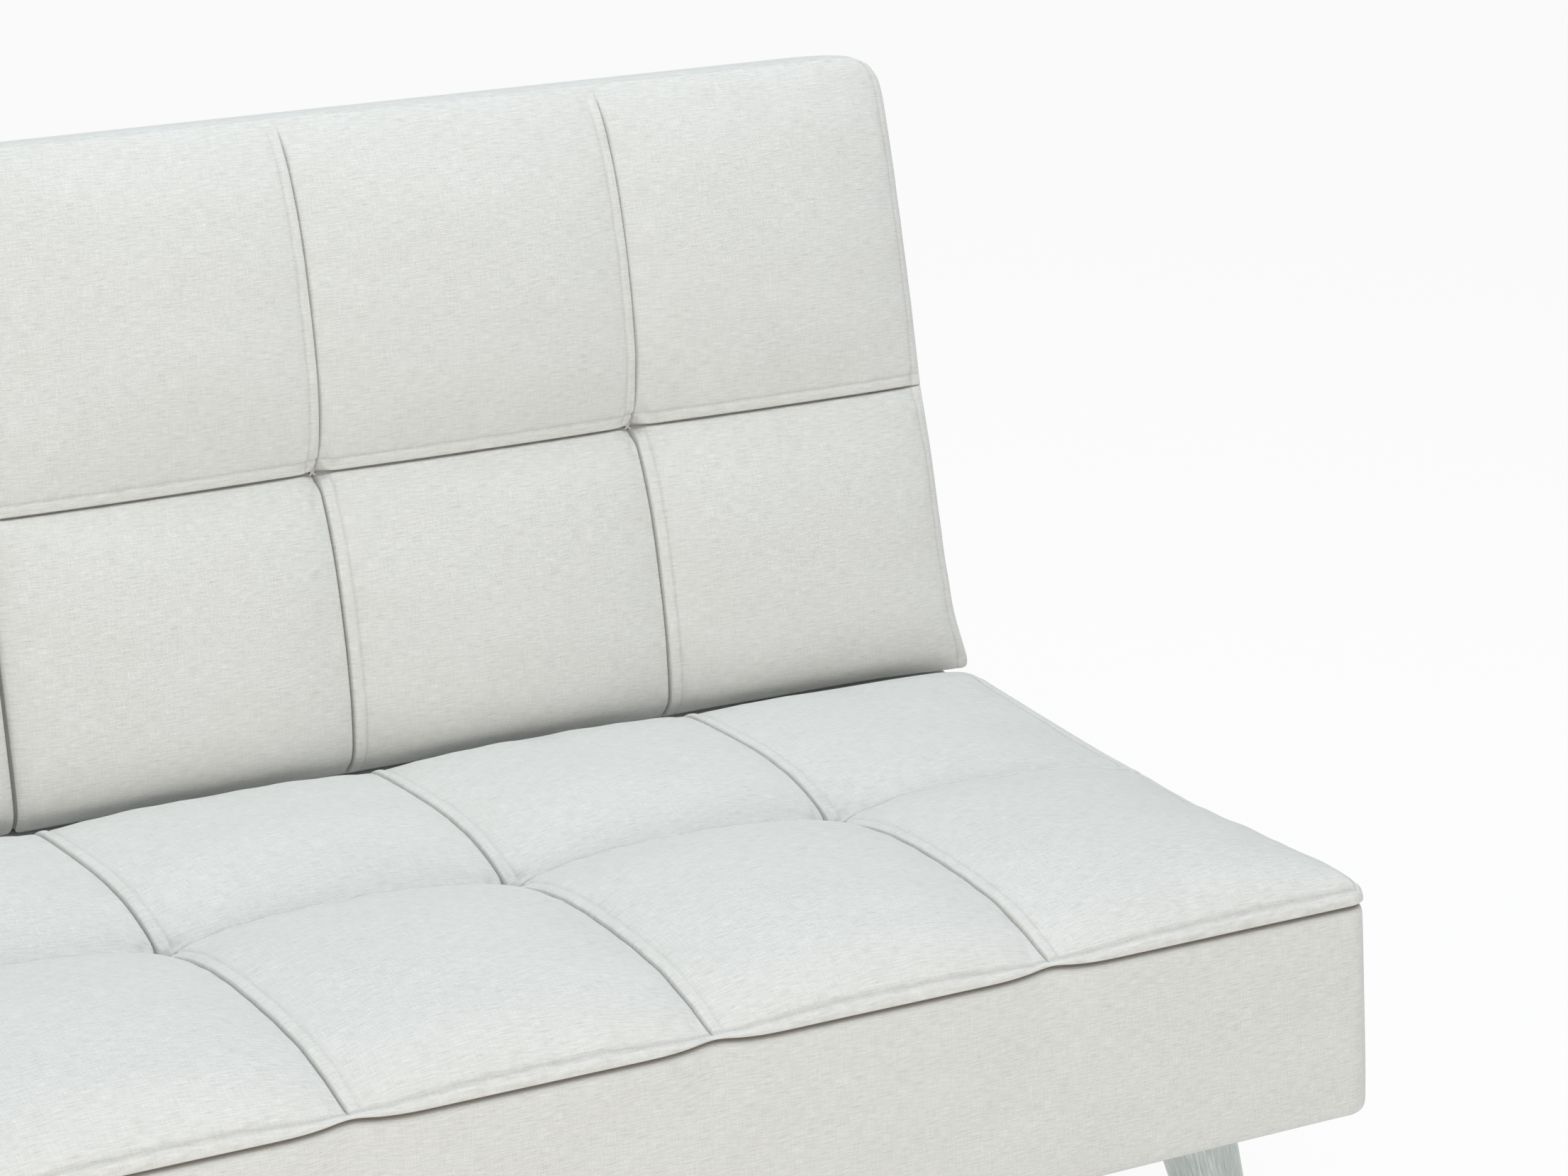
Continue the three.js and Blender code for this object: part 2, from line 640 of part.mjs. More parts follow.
function backCushionGeometry(side) {
  const inner = side * splitGap / 2;
  const outer = side * (halfWidth - backEndInset + backFootFlare + backSideBulge);
  const seams = Array.from({ length: tilesPerHalf - 1 }, (_, i) => side * (i + 1) * tileWidth);
  const xLines = [inner, ...seams, outer].sort((a, b) => a - b);
  const row = (value) => xLines.map(() => value);
  const lift = (value) => xLines.map((_, i) => (i === 0 || i === tilesPerHalf ? backEdgeLift : value));
  const block = quiltedBlock({
    xLines,
    yLines: [backFoot, backMiddle, backSeam],
    crossings: [row(backFace), row(backFace), row(backFace)],
    columnLifts: [lift(backLowerColumnLift), lift(backColumnLift)],
    rowLifts: [backEdgeLift, backRowLift, backEdgeLift],
    xShares: xLines.slice(1).map((_, i) => {
      if (i === 0) return nearEdgeShares;
      return i === tilesPerHalf - 1 ? farEdgeShares : innerShares;
    }),
    yShares: [nearEdgeShares, farEdgeShares],
    outer: { left: true, right: true, near: true, far: true },
    bottom: backRear - overrun,
  });
  const span = [side > 0 ? inner - overrun : outer - overrun, side > 0 ? outer + overrun : inner + overrun];
  const outline = extrudeAlongZ(backOutline(inner, outer), backRear - overrun, backCrownTop + overrun);
  const section = extrudeAlongX(backSection(), ...span);
  const topRoll = common(extrudeAlongX(backTopRoll(), ...span), outline);
  const well = boxBetween(
    backWellSpan(side),
    [backRailFoot - fitGap, backSeam - skirt],
    [backRear - overrun, wellCeiling],
  );
  const pockets = hingePlaces.filter((hinge) => hinge.side === side).map(backHingePocket);
  return cut(join(common(block, outline, section), topRoll), well, ...pockets);
}

function backWellSpan(side) {
  return [side * (splitGap / 2 + skirt), side * (halfWidth - backEndInset - skirt)];
}

function backHingePocket(hinge) {
  const flangeHalf = armFlangeDepth / 2 + pocketMargin;
  return boxBetween(
    outward(hinge, [hingePlateThickness - armFlangeWidth - pocketMargin, hingePlateThickness + pocketMargin]),
    [backFoot - overrun, backRailFoot + fitGap],
    [-armOffset - flangeHalf, flangeHalf - armOffset],
  );
}

// Legs: a tapered tube, splayed outwards and to the front or rear, cut level at both ends
function splayed(geometry, sideX, sideY) {
  const slope = Math.tan(THREE.MathUtils.degToRad(legSplayAngle));
  const shear = new THREE.Matrix4().makeShear(0, 0, 0, 0, -slope * sideX, -slope * sideY);
  return geometry.applyMatrix4(shear);
}

function legGeometry(sideX, sideY) {
  const height = legClearance - legPlateThickness - 2 * fitGap - glideHeight;
  const [top, foot] = [legTopDiameter / 2, legFootDiameter / 2];
  const profile = [
    new THREE.Vector2(foot - legWall, 0),
    new THREE.Vector2(foot, 0),
    new THREE.Vector2(top, height),
    new THREE.Vector2(top - legWall, height),
    new THREE.Vector2(foot - legWall, 0),
  ];
  const tube = toGeometry(toSolid(new THREE.LatheGeometry(profile, legSides).rotateX(Math.PI / 2)));
  return splayed(tube.translate(0, 0, glideHeight + fitGap - legTopHeight), sideX, sideY);
}

const legTopHeight = legClearance - legPlateThickness - fitGap;

function glideGeometry(sideX, sideY) {
  const foot = legFootDiameter / 2;
  const stem = foot - legWall - fitGap;
  const profile = [
    new THREE.Vector2(0, 0),
    new THREE.Vector2(foot - glideTaper, 0),
    new THREE.Vector2(foot, glideTaper),
    new THREE.Vector2(foot, glideHeight),
    new THREE.Vector2(stem, glideHeight),
    new THREE.Vector2(stem, glideHeight + glideStem),
    new THREE.Vector2(0, glideHeight + glideStem),
  ];
  const glide = toGeometry(toSolid(new THREE.LatheGeometry(profile, legSides).rotateX(Math.PI / 2)));
  return splayed(glide.translate(0, 0, -legTopHeight), sideX, sideY);
}

function legPlateGeometry() {
  const [h, r] = [legPlateSize / 2, legPlateCorner];
  const plate = new THREE.Shape();
  plate.moveTo(r - h, -h);
  plate.lineTo(h - r, -h);
  plate.absarc(h - r, r - h, r, -Math.PI / 2, 0, false);
  plate.lineTo(h, h - r);
  plate.absarc(h - r, h - r, r, 0, Math.PI / 2, false);
  plate.lineTo(r - h, h);
  plate.absarc(r - h, h - r, r, Math.PI / 2, Math.PI, false);
  plate.lineTo(-h, r - h);
  plate.absarc(r - h, r - h, r, Math.PI, 1.5 * Math.PI, false);
  const place = h - legPlateHoleInset;
  for (const [x, y] of [[-place, -place], [place, -place], [place, place], [-place, place]]) {
    plate.holes.push(new THREE.Path().absarc(x, y, legPlateHole / 2, 0, 2 * Math.PI, true));
  }
  return extrudeAlongZ(plate, 0, legPlateThickness, holeSides / 2);
}

function buildLegs(group) {
  for (const [sideY, end] of [[-1, 'front'], [1, 'rear']]) {
    for (const [sideX, hand] of [[-1, 'left'], [1, 'right']]) {
      const corner = new THREE.Group();
      const y = sideY < 0 ? legSetback : seatDepth - legSetback;
      corner.position.set(sideX * (halfWidth - legInset), y, legTopHeight);
      addMesh(corner, `${end}_${hand}_leg_plate`, legPlateGeometry(), zincPlate);
      addMesh(corner, `${end}_${hand}_leg`, legGeometry(sideX, sideY), brushedSteel);
      addMesh(corner, `${end}_${hand}_foot_glide`, glideGeometry(sideX, sideY), blackPlastic);
      group.add(corner);
    }
  }
  const top = legClearance - fitGap;
  const profile = new THREE.Path();
  profile.moveTo(0, centreGlideHeight);
  profile.lineTo(centreLegFootDiameter / 2, centreGlideHeight);
  profile.lineTo(centreLegTopDiameter / 2, top - centreFlangeThickness);
  profile.lineTo(centreFlangeDiameter / 2, top - centreFlangeThickness);
  profile.lineTo(centreFlangeDiameter / 2, top);
  profile.lineTo(0, top);
  const glide = new THREE.Path();
  glide.moveTo(0, 0);
  glide.lineTo(centreGlideDiameter / 2 - glideTaper, 0);
  glide.lineTo(centreGlideDiameter / 2, glideTaper);
  glide.lineTo(centreGlideDiameter / 2, centreGlideHeight - fitGap);
  glide.lineTo(0, centreGlideHeight - fitGap);
  const upright = (path) => new THREE.LatheGeometry(path.getPoints(), legSides).rotateX(Math.PI / 2);
  const middle = seatDepth / 2;
  addMesh(group, 'centre_leg', toGeometry(toSolid(upright(profile))).translate(0, middle, 0), blackPlastic);
  addMesh(group, 'centre_foot_glide', toGeometry(toSolid(upright(glide))).translate(0, middle, 0), blackPlastic);
}

// Seat frame, deck and cover under the pad
function buildSeatFrame(group) {
  const inset = skirt + fitGap;
  const endX = halfWidth - inset;
  const rails = [railBottom, railTop];
  const between = [inset + railThickness + fitGap, seatDepth - inset - railThickness - fitGap];
  const full = [-endX, endX];
  addMesh(group, 'seat_front_rail', timberBetween('x', full, [inset, inset + railThickness], rails), timber);
  const rearRail = [seatDepth - inset - railThickness, seatDepth - inset];
  addMesh(group, 'seat_rear_rail', timberBetween('x', full, rearRail, rails), timber);
  for (const [side, hand] of [[-1, 'left'], [1, 'right']]) {
    const end = [side * (endX - railThickness), side * endX];
    addMesh(group, `seat_${hand}_end_rail`, timberBetween('y', end, between, rails), timber);
    const legX = side * (halfWidth - legInset);
    const batten = [legX - battenWidth / 2, legX + battenWidth / 2];
    const battens = [railBottom, railBottom + battenThickness];
    addMesh(group, `seat_${hand}_leg_batten`, timberBetween('y', batten, between, battens), timber);
    for (let i = 1; i <= tilesPerHalf; i += 1) {
      const middle = side * (i * tileWidth - tileWidth / 2);
      const strap = boxBetween(
        [middle - strapWidth / 2, middle + strapWidth / 2],
        [inset, seatDepth - inset],
        [railTop + fitGap, railTop + fitGap + strapThickness],
      );
      addMesh(group, `seat_${hand}_strap_${i}`, strap, webbing);
    }
  }
  const centre = [-centreRailWidth / 2, centreRailWidth / 2];
  addMesh(group, 'seat_centre_rail', timberBetween('y', centre, between, rails), timber);
  const cover = boxBetween(full, [inset, seatDepth - inset], [seatBottom + fitGap, seatBottom + fitGap + coverThickness]);
  addMesh(group, 'seat_dust_cover', cover, liner);
}

// One half-back: pad, frame, strap and cover in a group that stands at the pivot
function buildHalfBack(side, hand) {
  const group = new THREE.Group();
  addMesh(group, `${hand}_back_cushion`, backCushionGeometry(side), fabric);
  const span = backWellSpan(side).map((x, i) => x + (i === 0 ? side : -side) * fitGap);
  const depth = [backWell - backRailDepth, backWell];
  const foot = backRailFoot;
  const top = backSeam - skirt - fitGap;
  addMesh(group, `${hand}_back_bottom_rail`, timberBetween('x', span, [foot, foot + railThickness], depth), timber);
  addMesh(group, `${hand}_back_top_rail`, timberBetween('x', span, [top - railThickness, top], depth), timber);
  const between = [foot + railThickness + fitGap, top - railThickness - fitGap];
  const inner = [span[0], span[0] + side * railThickness];
  const outer = [span[1] - side * railThickness, span[1]];
  addMesh(group, `${hand}_back_inner_stile`, timberBetween('y', inner, between, depth), timber);
  addMesh(group, `${hand}_back_outer_stile`, timberBetween('y', outer, between, depth), timber);
  const lumbar = (foot + top) / 2;
  const strap = boxBetween(
    span,
    [lumbar - strapWidth / 2, lumbar + strapWidth / 2],
    [backWell + fitGap, backWell + fitGap + strapThickness],
  );
  addMesh(group, `${hand}_back_lumbar_strap`, strap, webbing);
  const cover = boxBetween(span, [foot, top], [backRear + fitGap, backRear + fitGap + coverThickness]);
  addMesh(group, `${hand}_back_rear_cover`, cover, fabric);
  for (const hinge of hingePlaces.filter((place) => place.side === side)) {
    addMesh(group, `${hand}_${hinge.place}_hinge_arm`, backArmGeometry(hinge), zincPlate);
    addMesh(group, `${hand}_${hinge.place}_stop_pin`, stopPinGeometry(hinge), zincPlate);
  }
  group.position.set(0, pivotY, pivotZ);
  group.rotation.x = foldBack;
  return group;
}

function buildSeatHinges(group) {
  for (const hinge of hingePlaces) {
    const hand = hinge.side < 0 ? 'left' : 'right';
    addMesh(group, `${hand}_${hinge.place}_hinge_plate`, seatPlateGeometry(hinge), zincPlate);
    const rivet = rivetGeometry(hinge).translate(0, pivotY, pivotZ);
    addMesh(group, `${hand}_${hinge.place}_pivot_rivet`, rivet, zincPlate);
  }
}

const sofa = new THREE.Group();
addMesh(sofa, 'seat_cushion', seatCushionGeometry(), fabric);
buildSeatFrame(sofa);
buildSeatHinges(sofa);
buildLegs(sofa);
sofa.add(buildHalfBack(-1, 'left'), buildHalfBack(1, 'right'));

// The origin is on the floor, under the middle of the sofa's box
sofa.updateMatrixWorld(true);
const extent = new THREE.Box3().setFromObject(sofa, true);
sofa.position.y = -(extent.min.y + extent.max.y) / 2;

export default sofa;
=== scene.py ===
import json
import math

import bmesh
import bpy
from mathutils import Matrix, Vector, noise


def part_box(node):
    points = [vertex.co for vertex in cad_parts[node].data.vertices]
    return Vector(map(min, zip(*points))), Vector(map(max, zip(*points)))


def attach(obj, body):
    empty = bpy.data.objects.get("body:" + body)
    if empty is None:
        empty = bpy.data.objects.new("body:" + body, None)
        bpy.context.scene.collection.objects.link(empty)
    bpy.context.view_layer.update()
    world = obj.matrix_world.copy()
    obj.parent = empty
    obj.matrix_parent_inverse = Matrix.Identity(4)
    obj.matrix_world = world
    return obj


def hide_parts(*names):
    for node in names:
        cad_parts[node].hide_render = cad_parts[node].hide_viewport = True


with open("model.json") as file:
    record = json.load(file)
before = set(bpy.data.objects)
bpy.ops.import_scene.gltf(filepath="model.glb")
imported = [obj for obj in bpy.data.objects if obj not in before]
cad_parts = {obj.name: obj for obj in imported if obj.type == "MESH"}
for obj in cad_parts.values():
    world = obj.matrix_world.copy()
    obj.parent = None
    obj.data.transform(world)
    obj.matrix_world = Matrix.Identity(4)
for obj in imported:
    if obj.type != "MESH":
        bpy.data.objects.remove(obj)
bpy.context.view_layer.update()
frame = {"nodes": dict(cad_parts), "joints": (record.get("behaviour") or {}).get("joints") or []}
mm = 0.001  # sizes below are in millimetres, and meshes are scaled by this at the end
scene = bpy.context.scene
scene.view_settings.view_transform = "Standard"
nodes = frame["nodes"]
joints = {joint["name"]: joint for joint in frame["joints"]}
print("frame loaded:", len(nodes), "nodes")


# Camera; the room is made at the end
cameraSetup = {
    "place": (-1.363837, -3.142184, 1.752809),
    "yaw": 31.7091,
    "pitch": 18.3818,
    "roll": 1.4872,
    "focalPixels": 7086.98,
    "imageWidth": 2212,
    "sensor": 36,
}


def placeCamera(setup):
    yaw, pitch, roll = (math.radians(setup[key]) for key in ("yaw", "pitch", "roll"))
    ahead = Vector((math.sin(yaw) * math.cos(pitch), math.cos(yaw) * math.cos(pitch), -math.sin(pitch)))
    level = Vector((math.cos(yaw), -math.sin(yaw), 0))
    upright = level.cross(ahead)
    right = level * math.cos(roll) + upright * math.sin(roll)
    up = upright * math.cos(roll) - level * math.sin(roll)
    lens = bpy.data.cameras.new("camera")
    lens.sensor_width = setup["sensor"]
    lens.lens = setup["focalPixels"] / setup["imageWidth"] * setup["sensor"]
    camera = bpy.data.objects.new("camera", lens)
    scene.collection.objects.link(camera)
    turned = Matrix((right, up, -ahead)).transposed().to_4x4()
    turned.translation = Vector(setup["place"])
    camera.matrix_world = turned
    scene.camera = camera


placeCamera(cameraSetup)


# Materials
def linearColour(code):
    parts = [int(code[k : k + 2], 16) / 255 for k in (1, 3, 5)]
    return [p / 12.92 if p <= 0.04045 else ((p + 0.055) / 1.055) ** 2.4 for p in parts] + [1.0]


def addNode(tree, kind, settings=None, links=None):
    node = tree.nodes.new(kind)
    for key, value in (settings or {}).items():
        if isinstance(key, int) or key in node.inputs:
            node.inputs[key].default_value = value
        else:
            setattr(node, key, value)
    for socket, source in (links or {}).items():
        tree.links.new(source, node.inputs[socket])
    return node


def newMaterial(name):
    material = bpy.data.materials.new(name)
    material.use_nodes = True
    material.node_tree.nodes.clear()
    return material, material.node_tree


# Woven polyester in a pale melange: beige and grey slubs lie among the lighter threads, so that close up it reads as linen
# and from afar as warm ivory. The slubs are drawn 1.1 mm tall and 11 mm long, as on the real cloth, and the plain weave
# 1.3 mm apart, twice as coarse as it is, so that it shows.
melange = {
    "dark": "#bfbab0",
    "grey": "#cfd1cf",
    "body": "#dadad7",
    "pale": "#e8e9e8",
    # The gap colour is painted shade: the cloth is darkened towards it in seam grooves, along topstitch lines and in
    # the crease under the seat's seam
    "gap": "#6a635b",
    "roughness": 0.92,
    "sheen": 0.1,
    "slub": (80, 950, 1),
    "end": (950, 80, 1),
    "cloud": (9, 22, 1),
    "pitch": 1.3,
    "bump": 0.3,
}


def clothMaterial(name, look):
    material, tree = newMaterial(name)
    place = addNode(tree, "ShaderNodeUVMap", {"uv_map": "weave"})

    def stretched(scale, detail):
        vector = addNode(tree, "ShaderNodeVectorMath", {"operation": "MULTIPLY", 1: scale}, {0: place.outputs[0]})
        return addNode(tree, "ShaderNodeTexNoise", {"Scale": 1.0, "Detail": detail, "Roughness": 0.6}, {"Vector": vector.outputs[0]}).outputs["Fac"]

    def bands(direction):
        vector = addNode(tree, "ShaderNodeVectorMath", {"operation": "MULTIPLY", 1: (1000, 1000, 1)}, {0: place.outputs[0]})
        return addNode(tree, "ShaderNodeTexWave", {
            "bands_direction": direction, "Scale": 0.314 / look["pitch"], "Distortion": 0.6, "Detail": 1.0, "Detail Scale": 0.3,
        }, {"Vector": vector.outputs[0]}).outputs["Fac"]

    def mixed(kind, amount, first, second):
        return addNode(tree, "ShaderNodeMix", {"data_type": "RGBA", "blend_type": kind, 0: amount}, {6: first, 7: second}).outputs[2]

    def ramp(source, stops):
        node = addNode(tree, "ShaderNodeValToRGB", {}, {0: source})
        marks = node.color_ramp.elements
        while len(marks) < len(stops):
            marks.new(0.5)
        for mark, (position, colour) in zip(marks, stops):
            mark.position, mark.color = position, linearColour(colour)
        return node.outputs[0]

    slubs = stretched(look["slub"], 3)
    ends = stretched(look["end"], 2)
    clouds = stretched(look["cloud"], 2)
    across = ramp(slubs, [(0.26, look["dark"]), (0.4, look["grey"]), (0.52, look["body"]), (0.72, look["pale"])])
    along = ramp(ends, [(0.3, look["grey"]), (0.5, look["body"]), (0.75, look["pale"])])
    threads = mixed("MIX", 0.4, across, along)
    soft = ramp(clouds, [(0.3, "#f8f7f5"), (0.7, "#ffffff")])
    cloth = mixed("MULTIPLY", 0.5, threads, soft)
    # Painted shade: a point attribute darkens the cloth towards the gap colour in seams, along topstitch lines and
    # under the seat's seam
    depth = addNode(tree, "ShaderNodeAttribute", {"attribute_name": "seamShade"})
    colour = addNode(tree, "ShaderNodeMix", {"data_type": "RGBA", 7: linearColour(look["gap"])}, {0: depth.outputs["Fac"], 6: cloth}).outputs[2]
    weave = addNode(tree, "ShaderNodeMath", {"operation": "MULTIPLY"}, {0: bands("X"), 1: bands("Y")})
    height = addNode(tree, "ShaderNodeMath", {"operation": "ADD"}, {0: weave.outputs[0], 1: slubs})
    bump = addNode(tree, "ShaderNodeBump", {"Strength": look["bump"], "Distance": 0.0004}, {"Height": height.outputs[0]})
    shader = addNode(tree, "ShaderNodeBsdfPrincipled", {
        "Roughness": look["roughness"],
        "Sheen Weight": look["sheen"],
        "Specular IOR Level": 0.25,
    }, {"Base Color": colour, "Normal": bump.outputs[0]})
    addNode(tree, "ShaderNodeOutputMaterial", {}, {"Surface": shader.outputs[0]})
    return material


wovenPolyester = clothMaterial("wovenPolyester", melange)


# Spun polyester sewing thread, a shade greyer than the cloth, so that a topstitch reads as a fine dotted line
def threadMaterial():
    material, tree = newMaterial("sewingThread")
    place = addNode(tree, "ShaderNodeTexCoord")
    twist = addNode(tree, "ShaderNodeTexNoise", {"Scale": 900.0, "Detail": 1.0}, {"Vector": place.outputs["Object"]})
    colour = addNode(tree, "ShaderNodeMix", {"data_type": "RGBA", 6: linearColour("#c9c6be"), 7: linearColour("#e0ded8")}, {0: twist.outputs["Fac"]})
    shader = addNode(tree, "ShaderNodeBsdfPrincipled", {"Roughness": 0.8}, {"Base Color": colour.outputs[2]})
    addNode(tree, "ShaderNodeOutputMaterial", {}, {"Surface": shader.outputs[0]})
    return material


sewingThread = threadMaterial()


def streaks(tree, scale, turn=(0, 0, 0), detail=3.0):
    place = addNode(tree, "ShaderNodeTexCoord")
    turned = addNode(tree, "ShaderNodeMapping", {"Rotation": turn}, {"Vector": place.outputs["Object"]})
    spread = addNode(tree, "ShaderNodeVectorMath", {"operation": "MULTIPLY", 1: scale}, {0: turned.outputs[0]})
    return addNode(tree, "ShaderNodeTexNoise", {"Scale": 1.0, "Detail": detail, "Roughness": 0.6}, {"Vector": spread.outputs[0]}).outputs["Fac"]


def ranged(tree, source, low, high):
    node = addNode(tree, "ShaderNodeMapRange", {"From Min": 0.3, "From Max": 0.7, "To Min": low, "To Max": high}, {"Value": source})
    return node.outputs[0]


def blended(tree, share, first, second):
    node = addNode(tree, "ShaderNodeMix", {"data_type": "RGBA", 6: linearColour(first), 7: linearColour(second)}, {0: share})
    return node.outputs[2]


def solidMaterial(name, look):
    material, tree = newMaterial(name)
    marks = streaks(tree, look["scale"], look.get("turn", (0, 0, 0)), look.get("detail", 3.0))
    colour = blended(tree, ranged(tree, marks, 0, 1), *look["colours"])
    bump = addNode(tree, "ShaderNodeBump", {"Strength": look["bump"], "Distance": look.get("relief", 0.0003)}, {"Height": marks})
    shader = addNode(tree, "ShaderNodeBsdfPrincipled", {"Metallic": look["metallic"], "Specular IOR Level": look.get("specular", 0.5)}, {
        "Base Color": colour, "Roughness": ranged(tree, marks, *look["roughness"]), "Normal": bump.outputs[0],
    })
    addNode(tree, "ShaderNodeOutputMaterial", {}, {"Surface": shader.outputs[0]})
    return material


# Planed pine: pale yellow-brown with darker streaks along each timber, a growth ring every 4 mm or so
pine = {"colours": ("#cfa870", "#e6cda0"), "roughness": (0.75, 0.6), "metallic": 0, "bump": 0.25, "detail": 4.0, "specular": 0.3}
pineAcross = solidMaterial("pineAcross", {**pine, "scale": (5, 120, 160)})
pineDeep = solidMaterial("pineDeep", {**pine, "scale": (120, 5, 160)})
pineUpright = solidMaterial("pineUpright", {**pine, "scale": (120, 160, 5), "turn": (math.radians(15), 0, 0)})

# Zinc-plated pressed steel: cool grey, half dull, with faint cloudy patches
zincPlatedSteel = solidMaterial("zincPlatedSteel", {
    "colours": ("#a9aeb2", "#c6cacd"), "roughness": (0.34, 0.5), "metallic": 1.0, "bump": 0.1, "scale": (90, 90, 90),
})

# Black moulded plastic with a fine spark-eroded grain
blackPlastic = solidMaterial("blackPlastic", {
    "colours": ("#161718", "#1f2021"), "roughness": (0.5, 0.62), "metallic": 0, "bump": 0.2, "scale": (1200, 1200, 1200),
})

# Black spunbond liner: dull, with a felted look from its short crossed fibres
spunbondLiner = solidMaterial("spunbondLiner", {
    "colours": ("#1a1a1b", "#2c2c2e"), "roughness": (0.9, 1.0), "metallic": 0, "bump": 0.5, "scale": (420, 420, 420),
    "specular": 0.15,
})

# Woven elastic webbing: dark grey, ribbed across every 2.5 mm (1.6 mm on the real thing), with two paler threads along it
def webbingMaterial():
    material, tree = newMaterial("elasticWebbing")
    place = addNode(tree, "ShaderNodeUVMap", {"uv_map": "weave"})
    spread = addNode(tree, "ShaderNodeVectorMath", {"operation": "MULTIPLY", 1: (1000, 1000, 1)}, {0: place.outputs[0]})
    ribs = addNode(tree, "ShaderNodeTexWave", {"bands_direction": "Y", "Scale": 0.125, "Distortion": 0.4}, {"Vector": spread.outputs[0]})
    stripes = addNode(tree, "ShaderNodeTexWave", {"bands_direction": "X", "Scale": 0.00785, "Distortion": 0.0}, {"Vector": spread.outputs[0]})
    pale = addNode(tree, "ShaderNodeMapRange", {"From Min": 0.9, "From Max": 0.97}, {"Value": stripes.outputs["Fac"]})
    yarn = blended(tree, ribs.outputs["Fac"], "#2a2b2d", "#45474a")
    colour = addNode(tree, "ShaderNodeMix", {"data_type": "RGBA", 7: linearColour("#8d8f8f")}, {0: pale.outputs[0], 6: yarn}).outputs[2]
    bump = addNode(tree, "ShaderNodeBump", {"Strength": 0.6, "Distance": 0.0006}, {"Height": ribs.outputs["Fac"]})
    shader = addNode(tree, "ShaderNodeBsdfPrincipled", {"Roughness": 0.85}, {"Base Color": colour, "Normal": bump.outputs[0]})
    addNode(tree, "ShaderNodeOutputMaterial", {}, {"Surface": shader.outputs[0]})
    return material


elasticWebbing = webbingMaterial()


# Quilted pads: a grid with lines close together beside each seam, and rings round it for the band,
# the turned-under edge and the well that the timber frame stands in
def gridLines(keys, near, step):
    lines = []
    for low, high in zip(keys, keys[1:]):
        gap = high - low - 2 * near[-1]
        count = max(1, round(gap / step))
        lines += [low + q for q in near]
        lines += [low + near[-1] + gap * k / count for k in range(1, count)]
        lines += [high - q for q in reversed(near[1:])]
    return lines + [keys[-1]]


def crown(share):
    return 1 - abs(2 * share - 1) ** 2.6


def rollUp(distance, run):
    left = 1 - min(max(distance, 0) / run, 1)
    return math.sqrt(1 - left * left)


def tileSurface(pad, a, b):
    columns, rows = pad["columnSeams"], pad["rowSeams"]
    i = max(k for k in range(len(columns) - 1) if columns[k] <= a + 1e-6 or k == 0)
    j = max(k for k in range(len(rows) - 1) if rows[k] <= b + 1e-6 or k == 0)
    width, depth = columns[i + 1] - columns[i], rows[j + 1] - rows[j]
    u, v = (a - columns[i]) / width, (b - rows[j]) / depth
    c = pad["crossings"]
    base = (c[j][i] * (1 - u) + c[j][i + 1] * u) * (1 - v) + (c[j + 1][i] * (1 - u) + c[j + 1][i + 1] * u) * v
    outer = pad["outer"]
    left = pad["columnLifts"][j][i] * (1 - u) * crown(v)
    right = pad["columnLifts"][j][i + 1] * u * crown(v)
    near = pad["rowLifts"][j] * (1 - v) * crown(u)
    far = pad["rowLifts"][j + 1] * v * crown(u)
    run = pad["rollRun"]
    if i == 0:
        left *= rollUp(u * width, run)
    if i == len(columns) - 2:
        right *= rollUp((1 - u) * width, run)
    if j == 0:
        near *= rollUp(v * depth, pad["nearRun"])
    if j == len(rows) - 2 and outer["far"]:
        far *= rollUp((1 - v) * depth, run)
    return base + left + right + near + far


def roundedPlan(a, b, low, high, radii):
    for (sideA, sideB), radius in radii.items():
        centreA = high[0] - radius if sideA > 0 else low[0] + radius
        centreB = high[1] - radius if sideB > 0 else low[1] + radius
        overA, overB = (a - centreA) * sideA / radius, (b - centreB) * sideB / radius
        if overA > 0 and overB > 0:
            p = overA * math.sqrt(1 - overB * overB / 2)
            q = overB * math.sqrt(1 - overA * overA / 2)
            return centreA + sideA * radius * p, centreB + sideB * radius * q, Vector((sideA * p, sideB * q)).normalized()
    out = Vector((0, 0))
    if a <= low[0] + 1e-3:
        out.x = -1
    if a >= high[0] - 1e-3:
        out.x = 1
    if b <= low[1] + 1e-3:
        out.y = -1
    if b >= high[1] - 1e-3:
        out.y = 1
    return a, b, out


def reliefAt(profile, q):
    for (q0, h0), (q1, h1) in zip(profile, profile[1:]):
        if q0 <= q <= q1:
            return h0 + (h1 - h0) * (q - q0) / (q1 - q0)
    return 0


# A sewn seam: the dark gap at 0, and on one side the allowance under the cloth, held by a topstitch 10 mm away
seamRelief = [
    (-8.5, 0), (-5, 0), (-2.8, -0.1), (-1.4, -0.6), (-0.6, -1.8), (0, -8), (0.6, 0.2), (1.4, 1.2), (2.8, 1.5), (5, 1.3),
    (8.5, 1.1), (10, -1.2), (11.5, 0.1), (14.5, 0),
]
edgeRelief = [(0, 0.3), (0.6, 0.6), (1.4, 0.9), (2.8, 1.0), (5, 1.0), (8.5, 0.8), (10, -0.8), (11.5, 0.2), (14.5, 0)]
# Painted shade: how much darker the cloth is painted in the depth of a seam, and along a topstitch line, by the
# distance from it
seamShade = [(-1.4, 0), (-0.6, 0.15), (0, 1), (0.6, 0.15), (1.4, 0)]
paintedStripShade = [(8.5, 0), (10, 0.3), (11.5, 0)]


